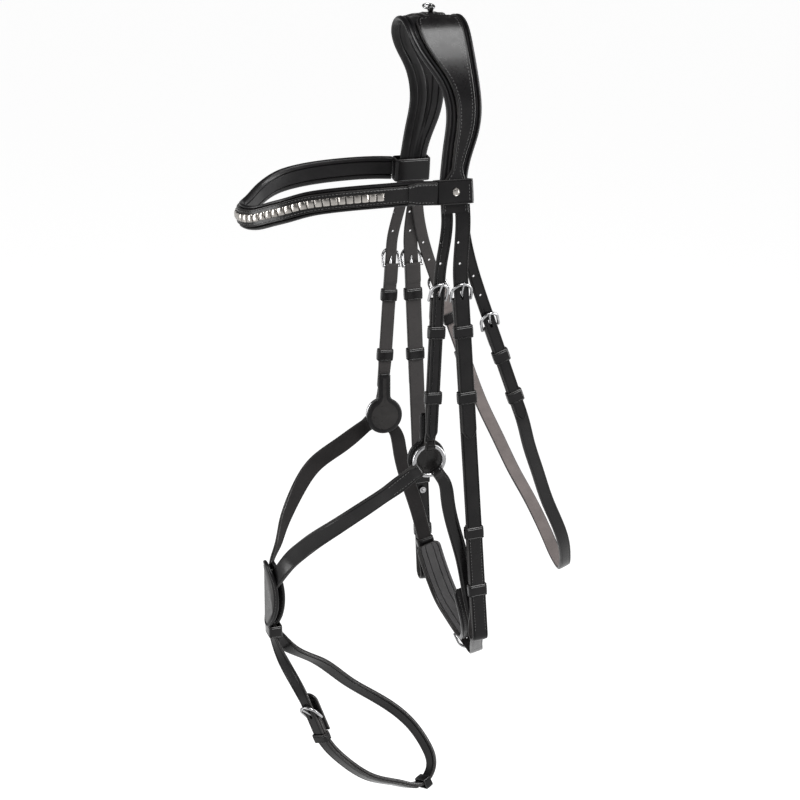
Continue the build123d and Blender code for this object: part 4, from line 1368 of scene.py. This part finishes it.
def chin_strap():
    route, low, high = with_buckle_end(CHIN_SEAT, chin_route(), CHIN_OUT)
    build = Build()
    strap(
        build, route, CHIN_WIDTH, low, high, (GRAIN, EDGE, GRAIN), crease=2.4, groove=0.45, puff=0.3,
        both=True,
    )
    return build


def lifted_points(points, outward, rise):
    route = Route(points, outward)
    return [p + n * rise for p, n in zip(route.p, route.n)]


def chin_billet():
    seat = CHIN_SEAT
    over = seat.at(TOP_REACH + 4, TAIL_MIDDLE)
    bend = smooth([over, CHIN_BILLET_BEND, CHIN_BILLET_TOP], start=seat.up, end=(-0.2, 0.1, 0.95))
    upper = even(bend, 30)[0][::-1]
    along_seat = [seat.at(y, TAIL_MIDDLE) for y in np.linspace(TOP_REACH + 2, -CHAPE_LENGTH + 3, 14)]
    under = chin_route()[: int(CHIN_LENGTHS * CHIN_TAIL_SHARE) + 1]
    tail = lifted_points(under, CHIN_OUT, TAIL_MIDDLE - STRAP_MIDDLE)
    points = list(upper) + along_seat + tail
    points = list(smooth(points[::2] + points[-1:], fine=3))
    route = Route(points, CHIN_OUT)
    build = Build()
    half = BILLET / 2
    strap(
        build, route, tip_widths(route, CHIN_BILLET, 8.0), -half, half, radius=0.55, crease=1.8, groove=0.34
    )
    return build


def chin_guard():
    """The leather tab behind the chin buckle, with a rounded top."""
    seat = CHIN_SEAT
    tip = 14.0 + 8.0 * np.sin(np.linspace(0, np.pi / 2, 12))[1:]
    heights = np.concatenate([np.linspace(-15.5, 14.0, 16), tip])
    route = Route([seat.at(y, -CHAPE_R - 1.5) for y in heights], lambda p: seat.out)
    width = 16.0 * np.sqrt(np.clip(1 - (np.clip((heights - 14.0) / 8.0, 0, 1)) ** 2, 0.003, 1))
    build = Build()
    strap(build, route, width, -1.1, 1.1, puff=0.2)
    return build


def band_at(points, where, outward, width, low, high, height=8.0):
    """A keeper round a strap's route, at one of its places."""
    route = Route(points, outward)
    seat = Seat(route.p[where], route.t[where], route.n[where])
    build = Build()
    keeper(build, seat, width, low, high, 0.0, height=height)
    return build


place(chin_strap(), "chin_strap_leather", "chin_loop", ["chin_strap"], LINED_FINISH)
place(
    chin_billet(), "chin_billet_leather", "chin_loop", ["chin_billet"], LINED_FINISH,
    holes=seat_holes(CHIN_SEAT, 0),
)
place(chin_guard(), "chin_buckle_guard", "chin_loop", ["chin_guard"], LINED_FINISH)
CHIN_FIXED = Build()
keeper(CHIN_FIXED, CHIN_SEAT, CHIN_WIDTH, STRAP_LOW - 1.2, TAIL_HIGH + 0.5, -20.0, height=8.0)
place(CHIN_FIXED, "chin_fixed_loop", "chin_loop", ["chin_fixed_keeper"], KEEPER_FINISH)
CHIN_POINTS = chin_route()
CHIN_RUNNER_AT = int(np.argmin(np.linalg.norm(CHIN_POINTS - vec(*CHIN_POINT), axis=1)))
place(
    band_at(
        CHIN_POINTS, CHIN_RUNNER_AT, CHIN_OUT, CHIN_WIDTH + 0.6, -STRAP / 2 - 1.5, STRAP / 2 + BILLET + 1.4
    ),
    "chin_runner_loop", "chin_runner", ["chin_runner"], KEEPER_FINISH,
)


# =============================================================================
# Jaw strap
# =============================================================================
JAW_BAR, JAW_UP = (35.6, 15.0, -561.0), (0.27, -0.83, -0.49)
JAW_OUT = away_from(7.6, 0.0, -450.0)
JAW_HALF = [
    (-9.0, 66.2, -395.0), (6.0, 62.0, -452.0), (17.0, 56.5, -500.0), (25.5, 49.5, -530.0),
    (30.0, 38.0, -545.0),
]
JAW_PAD_LOW, JAW_PAD_BOTTOM = (33.2, 27.0, -552.5), (36.5, 0.0, -555.5)
JAW_PAD_DEPTH, JAW_PAD_THICKNESS, JAW_PAD_RISE = 8.8, 4.0, 9.0
JAW_SEAT = Seat(JAW_BAR, JAW_UP, JAW_OUT(vec(*JAW_BAR)))
JAW_PARING = 0.35  # keeps the strap clear of the hook studs when it swings
JAW_LENGTHS, JAW_TAIL_SHARE = 130, 22 / 48
JAW_KEEPER_SHARES = (4 / 48, 12 / 48, 20 / 48)


def jaw_route():
    heading, _, _ = ring_start(JAW_ANGLE)
    start = JAW_SEAT.at(-CHAPE_LENGTH + 1, STRAP_MIDDLE)
    line = [tuple(start)] + JAW_HALF[::-1] + [tuple(RING + heading * (RING_R + 8))]
    return even(smooth(line, start=-JAW_SEAT.up, end=-heading), JAW_LENGTHS)[0]


def ring_tail(points, low, high, normals, half, mirrored=False):
    """Adds the folded end round the ring's wire to a strap that comes up to it."""
    _, ends, past = ring_start(JAW_ANGLE)
    keep = [i for i, d in enumerate(past) if d < 7.0]
    lo, hi = end_bulge(past, RING_LOOP_R, -half, half, 6.0)
    flip = FLIP if mirrored else vec(1, 1, 1)
    for i in reversed(keep):
        points.append(ends[i] * flip)
        low.append(lo[i])
        high.append(hi[i])
        normals.append(vec(0, 1, 0) * flip)


def turn_to(side, normals):
    """Turns the last twelve outward directions towards a side."""
    for k in range(1, 13):
        t = eased(1 - k / 13)
        normals[-k] = normals[-k] * (1 - t) + side * t


def jaw_strap():
    route, low, high = with_buckle_end(JAW_SEAT, jaw_route(), JAW_OUT)
    high = np.minimum(high, STRAP / 2 - JAW_PARING)
    points, low, high = list(route.p), list(low), list(high)
    normals = list(route.n)
    turn_to(vec(0, 1, 0), normals)
    ring_tail(points, low, high, normals, STRAP / 2)
    route, low, high = joined(points, low, high, normals)
    left = route.run[-1] - route.run
    build = Build()
    strap(build, route, 10.0 + (JAW_WIDTH - 10.0) * eased(left / 30.0), low, high, puff=0.0)
    rows = [i for i, s in enumerate(left) if 8.5 < s < 32]
    build.sew(route, rows, np.full(len(route.p), 3.6), high)
    return build


def jaw_billet():
    seat = JAW_SEAT
    heading, _, _ = ring_start(JAW_ANGLE)
    near_heading = heading * FLIP
    near_end = (RING + heading * (RING_R + 8)) * FLIP
    near_points = [(x, -y, z) for x, y, z in reversed(JAW_HALF)]
    over = seat.at(TOP_REACH + 4, TAIL_MIDDLE)
    line = [tuple(over), (36.5, -20, -562)] + near_points + [tuple(near_end)]
    rise = list(even(smooth(line, start=seat.up, end=-near_heading), 110)[0])
    down = [seat.at(y, TAIL_MIDDLE) for y in np.linspace(TOP_REACH + 2, -CHAPE_LENGTH + 3, 12)]
    under = jaw_route()[: int(JAW_LENGTHS * JAW_TAIL_SHARE) + 1]
    tail = lifted_points(under, JAW_OUT, TAIL_MIDDLE - STRAP_MIDDLE)
    body = list(smooth((down + tail)[::2] + tail[-1:], fine=3))
    points = body[::-1] + rise
    half = BILLET / 2
    low, high = [-half] * len(points), [half] * len(points)
    normals = [unit(JAW_OUT(p)) for p in points]
    turn_to(vec(0, -1, 0), normals)
    ring_tail(points, low, high, normals, half, mirrored=True)
    route, low, high = joined(points, low, high, normals)
    left = route.run[-1] - route.run
    width = 10.0 + (JAW_BILLET - 10.0) * eased(left / 30.0)
    width = width * tip_widths(route, 1.0, 9.0, at_end=False)
    build = Build()
    strap(build, route, width, low, high, radius=0.55, crease=1.7)
    return build


def jaw_pad():
    """The lined pad under the jaw, channelled along its length, with raised edges."""
    half = [vec(*p) for p in JAW_HALF[2:] + [JAW_PAD_LOW]]
    half = [tuple(p - unit(JAW_OUT(p)) * JAW_PAD_DEPTH) for p in half]
    rise = unit(vec(*half[0]) - vec(*half[1])) * JAW_PAD_RISE
    half[0] = tuple(vec(*half[0]) + rise)
    route = Route(even(smooth(both_halves(half, JAW_PAD_BOTTOM)), 130)[0], JAW_OUT)
    w, t = JAW_PAD_WIDTH / 2, JAW_PAD_THICKNESS / 2
    right = [
        (w - 1.6, -t - 0.1, 1), (w - 0.5, -t + 0.4, 1), (w, -t + 1.3, 1), (w - 0.05, 0.2, 1),
        (w - 0.4, t - 0.8, 0), (w - 1.3, t - 0.1, 0), (w - 2.2, t - 0.3, 0), (w - 2.8, t - 0.95, 0),
        (w - 5.5, t - 0.6, 0), (w - 8.0, t - 0.5, 0),
    ]
    inner = [
        (-w + 2.6, -t - 0.05, 2), (-w + 3.2, -t + 1.2, 2), (-w + 3.8, -t + 0.1, 2),
        (-w * 0.38, -t - 0.05, 2), (-w * 0.32, -t + 0.95, 2), (-w * 0.26, -t - 0.05, 2),
        (w * 0.26, -t - 0.05, 2), (w * 0.32, -t + 0.95, 2), (w * 0.38, -t - 0.05, 2),
        (w - 3.8, -t + 0.1, 2), (w - 3.2, -t + 1.2, 2), (w - 2.6, -t - 0.05, 2),
    ]
    outline = right + [(-a, n, s) for a, n, s in reversed(right)] + inner
    rings = []
    last = len(route.p) - 1
    for i, (p, a, n) in enumerate(zip(route.p, route.a, route.n)):
        end = min(i, last - i) * route.run[-1] / last
        k = math.sqrt(max(0.02, 1 - max(0.0, 1 - end / 6.0) ** 2))
        k = 0.62 + 0.38 * k
        thin = 0.55 + 0.45 * eased(end / 5.0)
        rings.append([p + a * (u * k) + n * (r * thin) for u, r, _ in outline])
    build = Build()
    build.sweep(rings, [s for _, _, s in outline])
    for side in (-1, 1):
        row = route.offset(side * (w - 3.9), t - 0.55)
        build.stitches(row[4:-4], route.n[4:-4], pitch=2.9, length=2.1, radius=0.21)
    return build


place(jaw_strap(), "jaw_strap_leather", "jaw_loop", ["jaw_strap"], LINED_FINISH)
place(
    jaw_billet(), "jaw_billet_leather", "jaw_loop", ["jaw_billet"], LINED_FINISH,
    holes=seat_holes(JAW_SEAT, 0),
)
place(jaw_pad(), "jaw_padding", "jaw_loop", ["jaw_pad"], JAW_FINISH, "padded_leather", fill=0.6)
JAW_POINTS = jaw_route()
for number, share in enumerate(JAW_KEEPER_SHARES, 1):
    place(
        band_at(
            JAW_POINTS, int(share * JAW_LENGTHS), JAW_OUT, JAW_WIDTH, -STRAP / 2 - 0.3,
            STRAP / 2 + BILLET + 0.6,
        ),
        f"jaw_loop_{number}", "jaw_loop", ["jaw_keepers"], KEEPER_FINISH,
    )


# =============================================================================
# Metal that stays as it is in the frame
# =============================================================================
for name, node in frame["nodes"].items():
    if not node.hide_render:
        node.data.materials.clear()
        node.data.materials.append(STEEL)


# =============================================================================
# Camera, floor and light
# =============================================================================
AZIMUTH, ELEVATION = math.radians(-18.0), math.radians(18.0)
CAMERA_PLACE = Vector((-490.8, -1417.8, 159.8)) * MM
FLOOR_Z = -1.25


def camera():
    data = bpy.data.cameras.new("camera")
    data.lens, data.sensor_width = 81.0, 36.0
    data.clip_start, data.clip_end = 0.05, 40.0
    level = math.cos(ELEVATION)
    back = Vector((math.sin(AZIMUTH) * level, -math.cos(AZIMUTH) * level, math.sin(ELEVATION)))
    right = Vector((math.cos(AZIMUTH), math.sin(AZIMUTH), 0))
    up = back.cross(right)
    obj = bpy.data.objects.new("camera", data)
    obj.matrix_world = Matrix.Translation(CAMERA_PLACE) @ Matrix((right, up, back)).transposed().to_4x4()
    bpy.context.scene.collection.objects.link(obj)
    bpy.context.scene.camera = obj


def area_light(name, place_m, size, power):
    data = bpy.data.lights.new(name, "AREA")
    data.shape, data.size, data.size_y, data.energy = "RECTANGLE", size[0], size[1], power
    obj = bpy.data.objects.new(name, data)
    target = Vector((0, 0, -0.35))
    obj.location = place_m
    obj.rotation_euler = (target - Vector(place_m)).to_track_quat("-Z", "Y").to_euler()
    bpy.context.scene.collection.objects.link(obj)


def floor():
    n = Nodes("pale_floor")
    cloud = n.noise(900.0, 2.0)
    material = n.finish(
        Base_Color=n.colours(cloud, (0.30, 0.30, 0.30), (0.33, 0.33, 0.33)),
        Roughness=n.ramp(cloud, 0.3, 0.7, 0.85, 0.95), Emission_Color=(1.0, 1.0, 1.0, 1.0),
        Emission_Strength=0.93,
    )
    build = Build()
    side = 15000.0
    z = FLOOR_Z / MM
    build.add(
        [(-side, -side, z), (side, -side, z), (side, side, z), (-side, side, z)], [[0, 1, 2, 3]], GRAIN
    )
    obj = build.make("pale_floor", [material])


def world():
    world = bpy.data.worlds.new("studio")
    bpy.context.scene.world = world
    world.use_nodes = True
    tree = world.node_tree
    background = tree.nodes["Background"]
    split = tree.nodes.new("ShaderNodeSeparateXYZ")
    tree.links.new(tree.nodes.new("ShaderNodeTexCoord").outputs["Generated"], split.inputs[0])
    fade = tree.nodes.new("ShaderNodeMapRange")
    fade.interpolation_type = "SMOOTHSTEP"
    for key, value in (("From Min", 0.0), ("From Max", 0.34), ("To Min", 1.0), ("To Max", 0.08)):
        fade.inputs[key].default_value = value
    tree.links.new(split.outputs["Z"], fade.inputs["Value"])
    tree.links.new(fade.outputs["Result"], background.inputs["Strength"])
    background.inputs["Color"].default_value = (1.0, 1.0, 1.0, 1)


camera()
floor()
world()
area_light("left", (-1.9, -0.15, 0.2), (0.5, 1.8), 32.0)
area_light("right", (1.9, -0.6, 0.2), (0.5, 1.8), 45.0)
area_light("top", (0.45, -0.85, 1.35), (1.1, 0.9), 52.0)
bpy.context.scene.view_settings.view_transform = "Standard"
